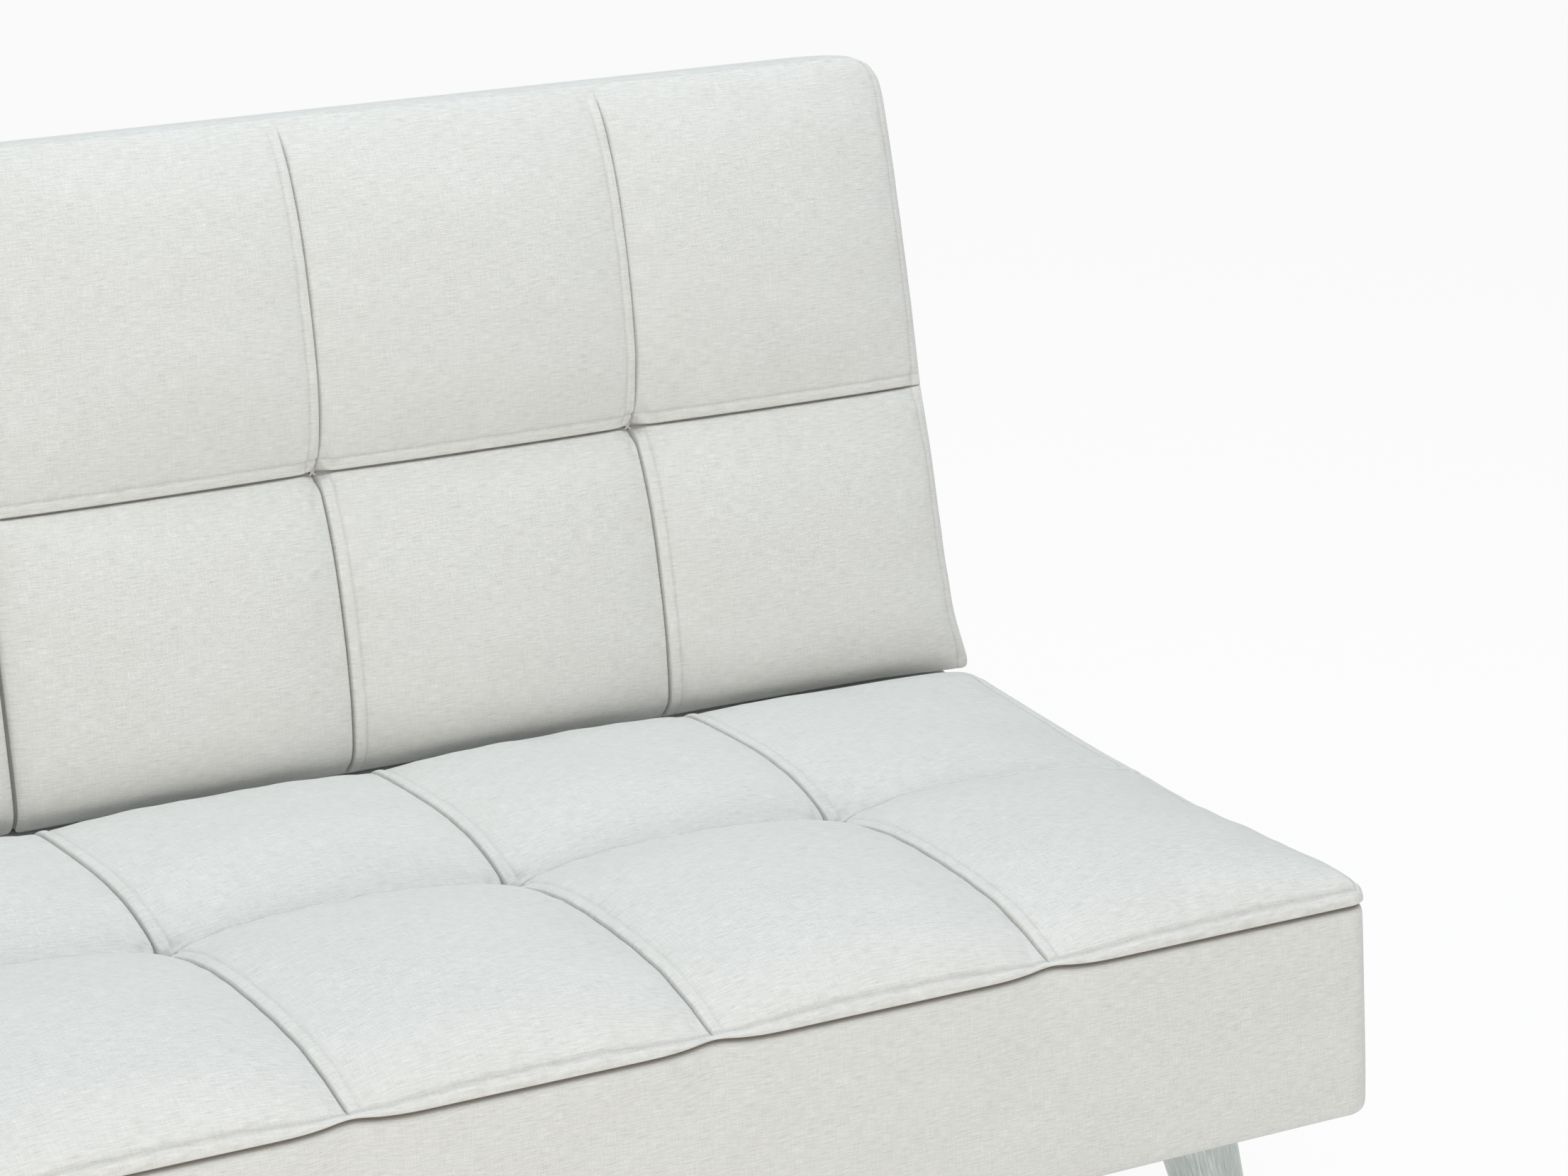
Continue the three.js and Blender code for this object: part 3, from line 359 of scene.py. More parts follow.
def padMesh(name, pad, place, turn):
    columns, rows = pad["columns"], pad["rows"]
    bm = bmesh.new()
    flat = bm.verts.layers.float_vector.new("flat")
    bmesh.ops.create_grid(bm, x_segments=len(columns) - 1, y_segments=len(rows) - 1, size=1)
    for vertex in bm.verts:
        i = round((vertex.co.x + 1) / 2 * (len(columns) - 1))
        j = round((vertex.co.y + 1) / 2 * (len(rows) - 1))
        vertex[flat] = (columns[i], rows[j], 0)
    rim = [edge for edge in bm.edges if edge.is_boundary]
    for ring in range(1, pad["rings"] + 1):
        made = bmesh.ops.extrude_edge_only(bm, edges=rim)["geom"]
        for vertex in (item for item in made if isinstance(item, bmesh.types.BMVert)):
            vertex[flat].z = ring
        rim = [item for item in made if isinstance(item, bmesh.types.BMEdge) and all(v[flat].z == ring for v in item.verts)]
    for vertex in bm.verts:
        a, b, ring = vertex[flat]
        vertex.co = place(a, b, round(ring))
    weave = bm.loops.layers.uv.new("weave")
    for face in bm.faces:
        corners = [loop.vert[flat] for loop in face.loops]
        side = all(abs(c.x - corners[0].x) < 1e-4 for c in corners)
        deep = max(c.z for c in corners) > 0
        for loop, corner in zip(face.loops, corners):
            if deep:
                loop[weave].uv = ((corner.y if side else corner.x) * mm, pad["drops"][round(corner.z)] * mm)
            else:
                loop[weave].uv = (corner.x * mm, corner.y * mm)
        face.smooth = True
    bmesh.ops.recalc_face_normals(bm, faces=bm.faces)
    bmesh.ops.transform(bm, matrix=turn @ Matrix.Scale(mm, 4), verts=bm.verts)
    mesh = bpy.data.meshes.new(name)
    bm.to_mesh(mesh)
    bm.free()
    piece = bpy.data.objects.new(name, mesh)
    scene.collection.objects.link(piece)
    return piece


def flatPlaces(piece):
    layer = piece.data.attributes["flat"].data
    return [tuple(item.vector) for item in layer]


def applyModifiers(piece):
    graph = bpy.context.evaluated_depsgraph_get()
    mesh = bpy.data.meshes.new_from_object(piece.evaluated_get(graph))
    piece.modifiers.clear()
    piece.data = mesh


# Air pressure from inside swells each tile between its seams, which are pinned
def swell(piece, pad, setup):
    start = [vertex.co.copy() for vertex in piece.data.vertices]
    places = flatPlaces(piece)
    free = []
    for a, b, ring in places:
        nearest = min(min(abs(a - seam) for seam in pad["columnSeams"]), min(abs(b - seam) for seam in pad["rowSeams"]))
        free.append(ring == 0 and nearest > 2 and b < pad["held"])
    group = piece.vertex_groups.new(name="pinned")
    group.add([k for k, loose in enumerate(free) if not loose], 1.0, "REPLACE")
    cloth = piece.modifiers.new("cloth", "CLOTH")
    settings = cloth.settings
    settings.quality = 4
    settings.mass = setup["mass"]
    settings.tension_stiffness = settings.compression_stiffness = setup["stiffness"]
    settings.shear_stiffness = setup["stiffness"] / 3
    settings.bending_stiffness = setup["bending"]
    settings.use_pressure = True
    settings.uniform_pressure_force = setup["pressure"]
    settings.effector_weights.gravity = 0
    settings.vertex_group_mass = "pinned"
    settings.shrink_min = setup["slack"]
    cloth.collision_settings.use_collision = False
    cloth.point_cache.frame_end = setup["frames"]
    for number in range(1, setup["frames"] + 1):
        scene.frame_set(number)
    applyModifiers(piece)
    scene.frame_set(1)
    piece.vertex_groups.clear()
    moved = 0
    low, high = (pad["columnSeams"][0], pad["rowSeams"][0]), (pad["columnSeams"][-1], pad["edgeFar"])
    for vertex, rest, (a, b, ring) in zip(piece.data.vertices, start, places):
        edge = min(a - low[0], high[0] - a, b - low[1], min(high[1], pad["held"]) - b)
        cap = setup["cap"] * mm * (setup["edgeShare"] + (1 - setup["edgeShare"]) * min(max(edge, 0) / 110, 1))
        shift = vertex.co - rest
        moved = max(moved, shift.length)
        if shift.length > 1e-7:
            shift *= cap * math.tanh(shift.length / cap) / shift.length
        vertex.co = rest + shift
    print(piece.name, "swelled by up to", round(moved / mm, 1), "mm, kept within", setup["cap"])


# Seams, topstitched strips and pulled-down tufts, pressed into the swollen pad along its normals; seams, topstitch
# lines and the band just under the seat's seam also get painted shade, kept in a point attribute that darkens the cloth
def sewSeams(piece, pad):
    mesh = piece.data
    normals = [vertex.normal.copy() for vertex in mesh.vertices]
    inner = pad["columnSeams"][1:-1]
    cross = pad["rowSeams"][1]
    low, high = (pad["columnSeams"][0], pad["rowSeams"][0]), (pad["columnSeams"][-1], pad["edgeFar"])
    shades = mesh.attributes.new("seamShade", "FLOAT", "POINT").data
    for shade, vertex, normal, (a, b, ring) in zip(shades, mesh.vertices, normals, flatPlaces(piece)):
        if ring:
            shade.value = pad["ringShade"].get(round(ring), 0)
            continue
        lift = 0
        fade = min(1, max(0, b - low[1] - pad["fadeNear"]) / 5)
        if pad["outer"]["far"]:
            fade = min(fade, max(0, high[1] - b - 6) / 24)
        else:
            fade = min(fade, max(0, 548 - b) / 8)
        for seam in inner:
            across = (a - seam) * (pad["columnSide"][0] if b < cross else pad["columnSide"][1])
            lift += reliefAt(seamRelief, across) * fade
            shade.value = max(shade.value, pad["columnShade"] * fade * max(reliefAt(seamShade, across), reliefAt(paintedStripShade, across)))
        if b < pad["held"]:
            fromCross = reliefAt(seamRelief, (b - cross) * pad["rowSide"]) * min(1, (min(a - low[0], high[0] - a) + 2) / 20)
            along = max(reliefAt(seamShade, b - cross), reliefAt(paintedStripShade, (b - cross) * pad["rowSide"]))
            shade.value = max(shade.value, pad["rowShade"] * along)
            lift = min(lift, fromCross) if min(lift, fromCross) < 0 else max(lift, fromCross)
            strips = pad["edgeStrips"]
            edge = min((a - low[0]) / strips["left"], (high[0] - a) / strips["right"], (b - low[1]) / strips["near"], (high[1] - b) / strips["far"])
            lift += reliefAt(edgeRelief, max(edge, 0))
            shade.value = max(shade.value, strips["shade"] * reliefAt(paintedStripShade, edge))
        for seam in inner:
            reach = math.hypot(a - seam, b - cross)
            lift -= pad["tuftPull"] * math.exp(-((reach / 10) ** 2))
            turn = math.atan2(b - cross, a - seam)
            lift += 0.9 * math.cos(8 * turn) * math.exp(-(((reach - 15) / 9) ** 2))
        lift += pad["unevenness"] * noise.noise(vertex.co * 16)
        vertex.co += normal * lift * mm


def subdivided(piece, levels=1):
    smooth = piece.modifiers.new("smooth", "SUBSURF")
    smooth.levels = smooth.render_levels = levels
    applyModifiers(piece)
    bm = bmesh.new()
    bm.from_mesh(piece.data)
    cap = bmesh.ops.edgeloop_fill(bm, edges=[edge for edge in bm.edges if edge.is_boundary])["faces"]
    bmesh.ops.triangulate(bm, faces=cap)
    bmesh.ops.recalc_face_normals(bm, faces=bm.faces)
    bm.to_mesh(piece.data)
    bm.free()
    return piece


# Topstitches follow a line of the pad's grid: one short thread every few millimetres, half sunk in the cloth
tuftKnot = {"length": 13, "thickness": 2.2, "lift": 2.5}
stitch = {"pitch": 4.8, "length": 3.6, "thickness": 0.75, "sink": 0.1}


def sewAlong(bm, points, setup):
    left = setup["pitch"] / 2
    for (p, n), (q, m) in zip(points, points[1:]):
        span = (q - p).length / mm
        while left < span:
            share = left / span
            centre, up = p.lerp(q, share), n.lerp(m, share).normalized()
            ahead = (q - p).normalized()
            sideways = ahead.cross(up).normalized()
            up = sideways.cross(ahead)
            turned = Matrix((ahead, sideways, up)).transposed().to_4x4()
            turned.translation = centre - up * setup["sink"] * mm
            size = Matrix.Diagonal((setup["length"] / 2 * mm, setup["thickness"] / 2 * mm, setup["thickness"] / 2 * mm, 1))
            bmesh.ops.create_icosphere(bm, subdivisions=1, radius=1, matrix=turned @ size)
            left += setup["pitch"]
        left -= span


def stitchLines(coarse, pad):
    inner, cross = pad["columnSeams"][1:-1], pad["rowSeams"][1]
    low, high = (pad["columnSeams"][0], pad["rowSeams"][0]), (pad["columnSeams"][-1], pad["edgeFar"])
    at = {}
    for index, (a, b, ring) in enumerate(coarse):
        if ring == 0:
            at[(round(a, 2), round(b, 2))] = index
    columns = sorted({key[0] for key in at})
    rows = sorted({key[1] for key in at})

    def column(a, b0, b1):
        a = min(columns, key=lambda value: abs(value - a))
        return [at[(a, b)] for b in rows if b0 <= b <= b1]

    def row(b, a0, a1):
        b = min(rows, key=lambda value: abs(value - b))
        return [at[(a, b)] for a in columns if a0 <= a <= a1]

    lines = []
    for seam in inner:
        lines.append(column(seam + 10 * pad["columnSide"][0], low[1] + 12, cross - 6))
        lines.append(column(seam + 10 * pad["columnSide"][1], cross + 6, high[1] - (12 if pad["outer"]["far"] else 4)))
    ends = [low[0], *inner, high[0]]
    for a0, a1 in zip(ends, ends[1:]):
        lines.append(row(cross + 10 * pad["rowSide"], a0 + 5, a1 - 5))
    strips = pad["edgeStrips"]
    if strips["near"] > 0.1:
        lines.append(row(low[1] + 10 * strips["near"], low[0] + 14, high[0] - 14))
    if strips["left"] > 0.1:
        lines.append(column(low[0] + 10, low[1] + 14, high[1] - 8))
    if strips["right"] > 0.1:
        lines.append(column(high[0] - 10, low[1] + 14, high[1] - 8))
    return lines


def newPiece(name, bm, material, body):
    for face in bm.faces:
        face.smooth = True
    mesh = bpy.data.meshes.new(name)
    bm.to_mesh(mesh)
    bm.free()
    mesh.materials.append(material)
    piece = bpy.data.objects.new(name, mesh)
    scene.collection.objects.link(piece)
    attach(piece, body)
    return piece


def upholster(name, pad, place, turn, body, nodeName, puff):
    cover = padMesh(name, pad, place, turn)
    swell(cover, pad, puff)
    sewSeams(cover, pad)
    coarse = flatPlaces(cover)
    lines = stitchLines(coarse, pad)
    crossings = [k for k, (a, b, ring) in enumerate(coarse) if ring == 0 and abs(b - pad["rowSeams"][1]) < 0.1 and any(abs(a - seam) < 0.1 for seam in pad["columnSeams"][1:-1])]
    cover.data.materials.append(wovenPolyester)
    subdivided(cover)
    bm = bmesh.new()
    vertices = cover.data.vertices
    for line in lines:
        sewAlong(bm, [(vertices[k].co.copy(), vertices[k].normal.copy()) for k in line], stitch)
    up = turn.to_3x3() @ Vector((0, 0, 1))
    tufts = [(vertices[k].co.copy(), up, turn.to_3x3() @ Vector((1, 0, 0))) for k in crossings]
    for spot, normal, ahead in tufts:
        for turned in (-0.75, 0.75):
            across = (Matrix.Rotation(turned, 3, normal) @ ahead).normalized()
            axes = Matrix((across, normal.cross(across), normal)).transposed().to_4x4()
            axes.translation = spot + normal * tuftKnot["lift"] * mm
            size = Matrix.Diagonal((tuftKnot["length"] / 2 * mm, tuftKnot["thickness"] / 2 * mm, tuftKnot["thickness"] / 2 * mm, 1))
            bmesh.ops.create_icosphere(bm, subdivisions=2, radius=1, matrix=axes @ size)
    newPiece(name + "Stitches", bm, sewingThread, body)
    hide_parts(nodeName)
    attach(cover, body)
    print(name, len(cover.data.polygons), "faces")
    return cover


besideSeam = [0, 0.6, 1.4, 2.8, 5, 8.5, 10, 11.5, 14.5, 20]

# Seat pad, in millimetres from its front plane and the floor
seat = {
    "half": 840,
    "depth": 606,
    "tile": 280,
    "seam": 360,
    "bottom": 190,
    "crestStart": 523,
    "crestEnd": 543.5,
    "crestLag": 6,
    "rearFill": 6,
    "creaseHeight": 359.2,
    "ledgeHeight": 367.4,
    "ledgeEnd": 592.6,
    "rearRoll": 12,
    "endRoll": 10,
    "cornerRadius": 17,
    "flare": 9,
    "kinkIn": 3,
    "kinkUp": 3,
    "cornerRise": 18,
    "skirt": 12,
    "deck": 274.3,
    "step": 16,
    "rollRun": 26,
}
tileEnds = [k * seat["tile"] for k in range(-3, 4)]
# How far the ends of the seat stand out, from front to rear
seatSide = [(-1, 6), (100, 4.5), (200, 1), (300, -3), (400, -4), (610, -4)]


def atEnds(inner, end):
    return [end if k in (0, 6) else inner for k in range(7)]


seatPad = {
    "columnSeams": tileEnds,
    "rowSeams": [0, 303, 542],
    "crossings": [atEnds(360, 360), atEnds(367, 364), atEnds(380, 371)],
    "columnLifts": [atEnds(27, 5), atEnds(20, -6)],
    "rowLifts": [18, 17, 5.5],
    "outer": {"far": False},
    "rollRun": seat["rollRun"],
    "nearRun": 40,
    "columns": gridLines(tileEnds, besideSeam, seat["step"]),
    "rows": gridLines([0, 303], besideSeam, seat["step"])[:-1]
    + gridLines([303, 606], besideSeam, seat["step"])[:15]
    + [513, 519, 524, 528, 532, 535.5, 538.5, 541, 543, 544.6, 545.8, 548, 553, 562, 572, 584, 592, 595, 598.5, 601.5, 604, 605.5, 606],
}
# Band below the seam: how far down, and how far out from the seam
seatBand = [
    (0, 0), (0.8, -2.4), (2, -5), (3.2, -4.6), (4.4, -1.4), (7.5, 0), (13, 0.4), (24, 0.8), (40, 1.2), (60, 1.4), (82, 1.5),
    (104, 1.5), (124, 1.3), (140, 1), (151, 0.6), (158, 0.3), (163, 0), (166.6, -1.2), (169, -3.3), (170, -6),
    (170, -9), (169.9, -12), (166, -12.1), (130, -12.1), (85.7, -12.1),
]
seatPad["rings"] = len(seatBand) - 1
seatPad["drops"] = [sum(math.dist(p, q) for p, q in zip(seatBand[:k], seatBand[1 : k + 1])) for k in range(len(seatBand))]


def seatTop(a, b):
    tile = tileSurface(seatPad, a, min(b, 541.9))
    slope = (seat["ledgeHeight"] - seat["creaseHeight"]) / (seat["ledgeEnd"] - 542)
    ledge = min(seat["creaseHeight"] + (b - 542) * slope, seat["ledgeHeight"])
    ledge -= seat["endRoll"] * (1 - rollUp(seat["half"] - abs(a), seat["endRoll"]))
    ledge -= seat["rearRoll"] * (1 - rollUp(seat["depth"] - b, seat["rearRoll"]))
    fromEnd = seat["half"] - abs(a)
    corner = rollUp(fromEnd, 22) * rollUp(b, 24) * math.exp(-fromEnd / 70) * max(0, 1 - b / 210) ** 0.8
    rear = rollUp(fromEnd, 34) * math.exp(-((fromEnd / 150) ** 2)) * rollUp(max(0, b - 400), 120)
    tile += seat["cornerRise"] * corner + seat["rearFill"] * rear
    late = seat["crestLag"] * math.exp(-((fromEnd / 90) ** 2))
    fall = min(max((b - seat["crestStart"] - late) / (seat["crestEnd"] - seat["crestStart"]), 0), 1)
    return ledge + (tile - ledge) * max(0, 1 - fall**2.5) ** 0.4


def seatPlace(a, b, ring):
    half, depth = seat["half"], seat["depth"]
    radius = seat["cornerRadius"]
    radii = {(s, t): radius for s in (-1, 1) for t in (-1, 1)}
    x, y, out = roundedPlan(a, b, (-half, 0), (half, depth), radii)
    z = seatTop(a, b)
    down, outset = seatBand[ring]
    fade = math.exp(-((b / 14) ** 2)) * math.exp(-((down / 55) ** 2))
    pull = fade * sum(math.exp(-(((a - k * seat["tile"]) / 22) ** 2)) for k in range(-2, 3))
    y += seat["kinkIn"] * pull
    x += math.copysign(reliefAt(seatSide, b) * max(0, abs(a) - 700) / 140, a)
    if ring:
        if outset > -8:
            outset += seat["flare"] * (1 + 0.5 * abs(out.x)) * (down / 170) ** 1.3
        x, y = x + out.x * outset, y + out.y * outset
        z = z - down * (z - seat["bottom"]) / 170
    z += seat["kinkUp"] * pull
    return (x, y, z)


# Painted shade shares: the band rings just under the seam, the column and row seams and the topstitch lines are painted
# darker by these
seatPad.update(edgeStrips={"left": 1, "right": 1, "near": 0.5, "far": 1, "shade": 0.8}, held=527, fadeNear=5, columnShade=0.3, rowShade=0.45, ringShade={1: 0.5, 2: 1, 3: 0.8, 4: 0.1}, edgeFar=606, columnSide=(1, 1), rowSide=-1, tuftPull=4, unevenness=0.3)
seatPuff = {"mass": 0.3, "stiffness": 15, "bending": 0.5, "pressure": 4, "slack": -0.01, "frames": 20, "cap": 7, "edgeShare": 0.3}
seatTurn = Matrix.Translation((0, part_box("seat_cushion")[0].y, 0))
seatCover = upholster("seatCover", seatPad, seatPlace, seatTurn, "base", "seat_cushion", seatPuff)
print("seat pad made")

# Half-backs, in the pad's own frame: x as on the sofa, t up the pad from the pivot, n towards its face
back = {
    "recline": math.radians(15),
    "face": 54.0,
    "thickness": 140,
    "foot": 39.37,
    "middle": 281.37,
    "seam": 556.5,
    "wellTop": 524.4,
    "gap": 3,
    "tile": 280,
    "end": 830,
    "topCrown": 5,
    "sideCrown": 3,
    "topRadius": 32,
    "footRadius": 6,
    "innerRadius": 12,
    "footEase": 1.0,
    "footLift": 4,
    "faceEase": 14,
    "easeRun": 22,
    "cornerRun": 55,
    "cornerFill": 0.8,
    "lip": 12,
    "well": 72.9,
    "edgeLift": 14,
    "topLift": 9,
    "rollRun": 18,
    "footRun": 32,
    "levelRun": 200,
}
# How far the outer side of a half-back stands out, up the pad
sideLine = [(30, 25), (50, 22.5), (65, 18), (80, 14), (95, 11), (140, 8), (190, 6.5), (235, 6), (281, 5), (360, 2), (430, 0), (500, -2), (600, -3.5)]
# Band from the face seam to the rear: share of the thickness, and how far in
backBand = [
    (0, 0), (0.006, 1.6), (0.016, 2.2), (0.03, 0.8), (0.055, 0), (0.1, 0), (0.18, 0), (0.28, 0), (0.4, 0), (0.5, 0),
    (0.6, 0), (0.72, 0), (0.82, 0), (0.9, 0), (0.95, 0.2), (0.98, 1.2), (0.995, 3), (1, 6), (1, 12), (0.95, 12.1),
    (0.75, 12.1), (0.479, 12.1),
]
backDrops = [sum(math.dist((p[0] * 140, p[1]), (q[0] * 140, q[1])) for p, q in zip(backBand[:k], backBand[1 : k + 1])) for k in range(len(backBand))]


def backPadSpec(side):
    inner, outer = side * back["gap"] / 2, side * back["end"]
    seams = sorted([inner, side * back["tile"], side * 2 * back["tile"], outer])
    rows = [back["foot"], back["middle"], back["seam"]]
    edges = [back["edgeLift"], back["edgeLift"]]
    return {
        "columnSeams": seams,
        "rowSeams": rows,
        "crossings": [[back["face"]] * 4] * 3,
        "columnLifts": [[edges[0], 18, 18, edges[1]], [edges[0], 25, 25, edges[1]]],
        "rowLifts": [back["edgeLift"], 14, back["topLift"]],
        "outer": {"far": True},
        "rollRun": back["rollRun"],
        "nearRun": back["footRun"],
        "columns": gridLines(seams, besideSeam, 16),
        "rows": gridLines(rows, besideSeam, 16),
        "rings": len(backBand) - 1,
        "drops": backDrops,
        "held": 1000,
        # Painted shade shares for the seams and the outer topstitch line; the band gets none
        "ringShade": {},
        "edgeStrips": {"left": 1 if side < 0 else 0.01, "right": 1 if side > 0 else 0.01, "near": 0.01, "far": 0.01, "shade": 0.6},
        "fadeNear": 0,
        "columnShade": 0.5,
        "rowShade": 0.6,
        "edgeFar": back["seam"],
        "columnSide": (1, -1),
        "rowSide": 1,
        "tuftPull": 5,
        "unevenness": 0.3,
    }


def backPlace(side, pad):
    low = (pad["columnSeams"][0], back["foot"])
    high = (pad["columnSeams"][-1], back["seam"])
    radii = {(side, 1): back["topRadius"], (-side, 1): back["innerRadius"], (side, -1): back["footRadius"], (-side, -1): back["footRadius"]}
    slope = math.tan(back["recline"])

    def place(a, b, ring):
        x, t, out = roundedPlan(a, b, low, high, radii)
        n = tileSurface(pad, a, b)
        extent = max(0, (a - side * back["gap"] / 2) / (side * back["end"]))
        x += side * reliefAt(sideLine, t) * extent**4
        fromFoot = t - back["foot"]
        fullness = math.exp(-(((back["end"] - abs(a)) / back["cornerRun"]) ** 2))
        faceEase = back["faceEase"] * (1 - back["cornerFill"] * fullness)
        eased = max(0, 1 - fromFoot / back["easeRun"])
        t += back["footEase"] * max(0, 1 - fromFoot / 20)
        if not ring:
            t += back["footLift"] * (1 - 0.7 * fullness) * eased**2
            n -= faceEase * eased**1.3
        if ring:
            down, inset = backBand[ring]
            base = back["face"] - faceEase * max(0, 1 - (b - back["foot"]) / back["easeRun"]) ** 1.3
            n = base + (n - back["face"]) * (1 - down) - down * (base - back["face"] + back["thickness"])
            bow = 2 * math.sqrt(max(0, down * (1 - down)))
            outerSide = 1 if out.x * side > 0 else 0
            outset = bow * (back["topCrown"] * max(0, out.y) ** 2 + back["sideCrown"] * outerSide * out.x**2) - inset
            if inset > 11.9:
                outset = -inset
                t -= max(0, out.y) * (back["seam"] - inset - back["wellTop"])
            x, t = x + out.x * outset, t + out.y * outset
            t += max(0, 1 - (t - back["foot"]) / back["levelRun"]) * max(0, back["face"] - n) * slope
        return (x, t, n)

    return place


def backTurn(joint):
    sine, cosine = math.sin(back["recline"]), math.cos(back["recline"])
    turned = Matrix(((1, 0, 0), (0, sine, -cosine), (0, cosine, sine))).to_4x4()
    turned.translation = (0, joint["pos_m"][1], joint["pos_m"][2])
    return turned


backCovers = {}
backPuff = {"mass": 0.3, "stiffness": 15, "bending": 0.5, "pressure": 4, "slack": -0.01, "frames": 20, "cap": 4.5, "edgeShare": 0.25}
for side, hand in ((-1, "left"), (1, "right")):
    spec = backPadSpec(side)
    turn = backTurn(joints[f"back_{hand}_fold"])
    backCovers[side] = upholster(f"{hand}BackCover", spec, backPlace(side, spec), turn, f"back_{hand}", f"{hand}_back_cushion", backPuff)
print("half-backs made")


# Hinges: places across the sofa, and how far things reach outwards from the inner face of each arm
hingePlaces = [(side, name, side * x) for side in (-1, 1) for name, x in (("inner", 70), ("outer", 770))]
pivot = Vector(joints["back_right_fold"]["pos_m"]) / mm
handOf = {-1: "left", 1: "right"}


def boxMesh(boxes, turn):
    bm = bmesh.new()
    for corners in boxes:
        low, high = Vector([min(pair) for pair in corners]), Vector([max(pair) for pair in corners])
        place = Matrix.Translation((low + high) / 2) @ Matrix.Diagonal((*(high - low), 1))
        bmesh.ops.create_cube(bm, size=1, matrix=turn @ Matrix.Scale(mm, 4) @ place)
    return bm


# Slits in a cover where the steel of the hinges passes through it
def cutPockets(cover, boxes, turn=Matrix()):
    bm = boxMesh(boxes, turn)
    mesh = bpy.data.meshes.new("pockets")
    bm.to_mesh(mesh)
    bm.free()
    mesh.materials.append(cover.data.materials[0])
    cutter = bpy.data.objects.new("pockets", mesh)
    scene.collection.objects.link(cutter)
    cut = cover.modifiers.new("pockets", "BOOLEAN")
    cut.operation, cut.solver, cut.object = "DIFFERENCE", "MANIFOLD", cutter
    applyModifiers(cover)
    bpy.data.objects.remove(cutter)


def reach(side, x, span):
    return [x + side * value for value in span]


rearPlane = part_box("seat_rear_rail")[1].y / mm
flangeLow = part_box("right_inner_hinge_plate")[0].z / mm
cutPockets(seatCover, [
    (reach(side, x, (-15.3, 14.7)), (pivot.y - 29, pivot.y + 30), (flangeLow - 3, pivot.z + 29)) for side, name, x in hingePlaces
])
cutPockets(seatCover, [
    (reach(side, x, (1.4, 53.4)), (rearPlane - 4.7, pivot.y + 30), (flangeLow - 3, flangeLow + 65)) for side, name, x in hingePlaces
])
for side, cover in backCovers.items():
    cutPockets(cover, [
        (reach(side, x, (-41, 7)), (back["foot"] - 12, 89.2), (-55, -3)) for hinge, name, x in hingePlaces if hinge == side
    ], backTurn(joints[f"back_{handOf[side]}_fold"]))
print("hinge pockets cut")


# Straps and covers: thin sheets over a stretch of (u, v), bent by a function into place
def sheet(name, uSpan, vSpan, cuts, place, turn, thickness, material, nodeName, body):
    bm = bmesh.new()
    bmesh.ops.create_grid(bm, x_segments=cuts[0], y_segments=cuts[1], size=1)
    weave = bm.loops.layers.uv.new("weave")
    for face in bm.faces:
        for loop in face.loops:
            u, v = [(part + 1) / 2 for part in loop.vert.co.xy]
            loop[weave].uv = (u * (uSpan[1] - uSpan[0]) * mm, v * (vSpan[1] - vSpan[0]) * mm)
    for vertex in bm.verts:
        u, v = [(part + 1) / 2 for part in vertex.co.xy]
        vertex.co = place(uSpan[0] + u * (uSpan[1] - uSpan[0]), vSpan[0] + v * (vSpan[1] - vSpan[0]), u, v)
    bmesh.ops.recalc_face_normals(bm, faces=bm.faces)
    bmesh.ops.solidify(bm, geom=bm.faces[:], thickness=thickness)
    bmesh.ops.recalc_face_normals(bm, faces=bm.faces)
    bmesh.ops.transform(bm, matrix=turn @ Matrix.Scale(mm, 4), verts=bm.verts)
    piece = newPiece(name, bm, material, body)
    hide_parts(nodeName)
    return piece


def staple(bm, place, along, up, look):
    ahead, high = Vector(along).normalized(), Vector(up).normalized()
    turned = Matrix((ahead, high.cross(ahead), high)).transposed().to_4x4()
    turned.translation = Vector(place)
    size = Matrix.Diagonal((look["crown"], look["wire"], look["wire"], 1))
    made = bmesh.ops.create_cube(bm, size=1, matrix=turned @ size)["verts"]
    edges = {edge for vertex in made for edge in vertex.link_edges}
    bmesh.ops.bevel(bm, geom=list(edges), offset=look["wire"] * 0.3, offset_type="OFFSET", segments=1, profile=0.5, affect="EDGES", material=-1)


staples = {"crown": 10, "wire": 1.1, "pitch": 55, "inset": 7, "sagSeat": 4, "sagStrap": 1.2}


def sagged(amount, u, v):
    return amount * 16 * u * (1 - u) * v * (1 - v)


# Webbing across the seat, stapled to the rails, and its staples
stapleBed = bmesh.new()
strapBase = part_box("seat_left_strap_1")
for hand in ("left", "right"):
    for number in (1, 2, 3):
        low, high = [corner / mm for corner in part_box(f"seat_{hand}_strap_{number}")]

        def strapPlace(x, y, u, v):
            free = min(max((y - low.y - 22) / (high.y - low.y - 44), 0), 1)
            return (x, y, low.z + 1.1 - staples["sagStrap"] * 4 * free * (1 - free))

        sheet(f"seatWebbing_{hand}_{number}", (low.x, high.x), (low.y, high.y), (8, 44), strapPlace, Matrix(), 2.0,
              elasticWebbing, f"seat_{hand}_strap_{number}", "base")
        for y in (low.y + staples["inset"], high.y - staples["inset"]):
            for share in (0.14, 0.38, 0.62, 0.86):
                staple(stapleBed, (low.x + share * (high.x - low.x), y, high.z + 0.3), (1, 0, 0), (0, 0, 1), staples)

# Liner under the seat, sagging a little between the timbers
linerLow, linerHigh = [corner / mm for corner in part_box("seat_dust_cover")]
bays = [(-800, -30), (30, 800)]


def linerPlace(x, y, u, v):
    sag = 0
    for start, end in bays:
        share = min(max((x - start) / (end - start), 0), 1)
        sag += 4 * share * (1 - share)
    depth = min(max((y + 370) / 525, 0), 1)
    plates = min(max((abs(abs(x) - 731) - 55) / 60, 0), 1)
    return (x, y, linerLow.z + 0.75 - staples["sagSeat"] * sag * 4 * depth * (1 - depth) * plates)


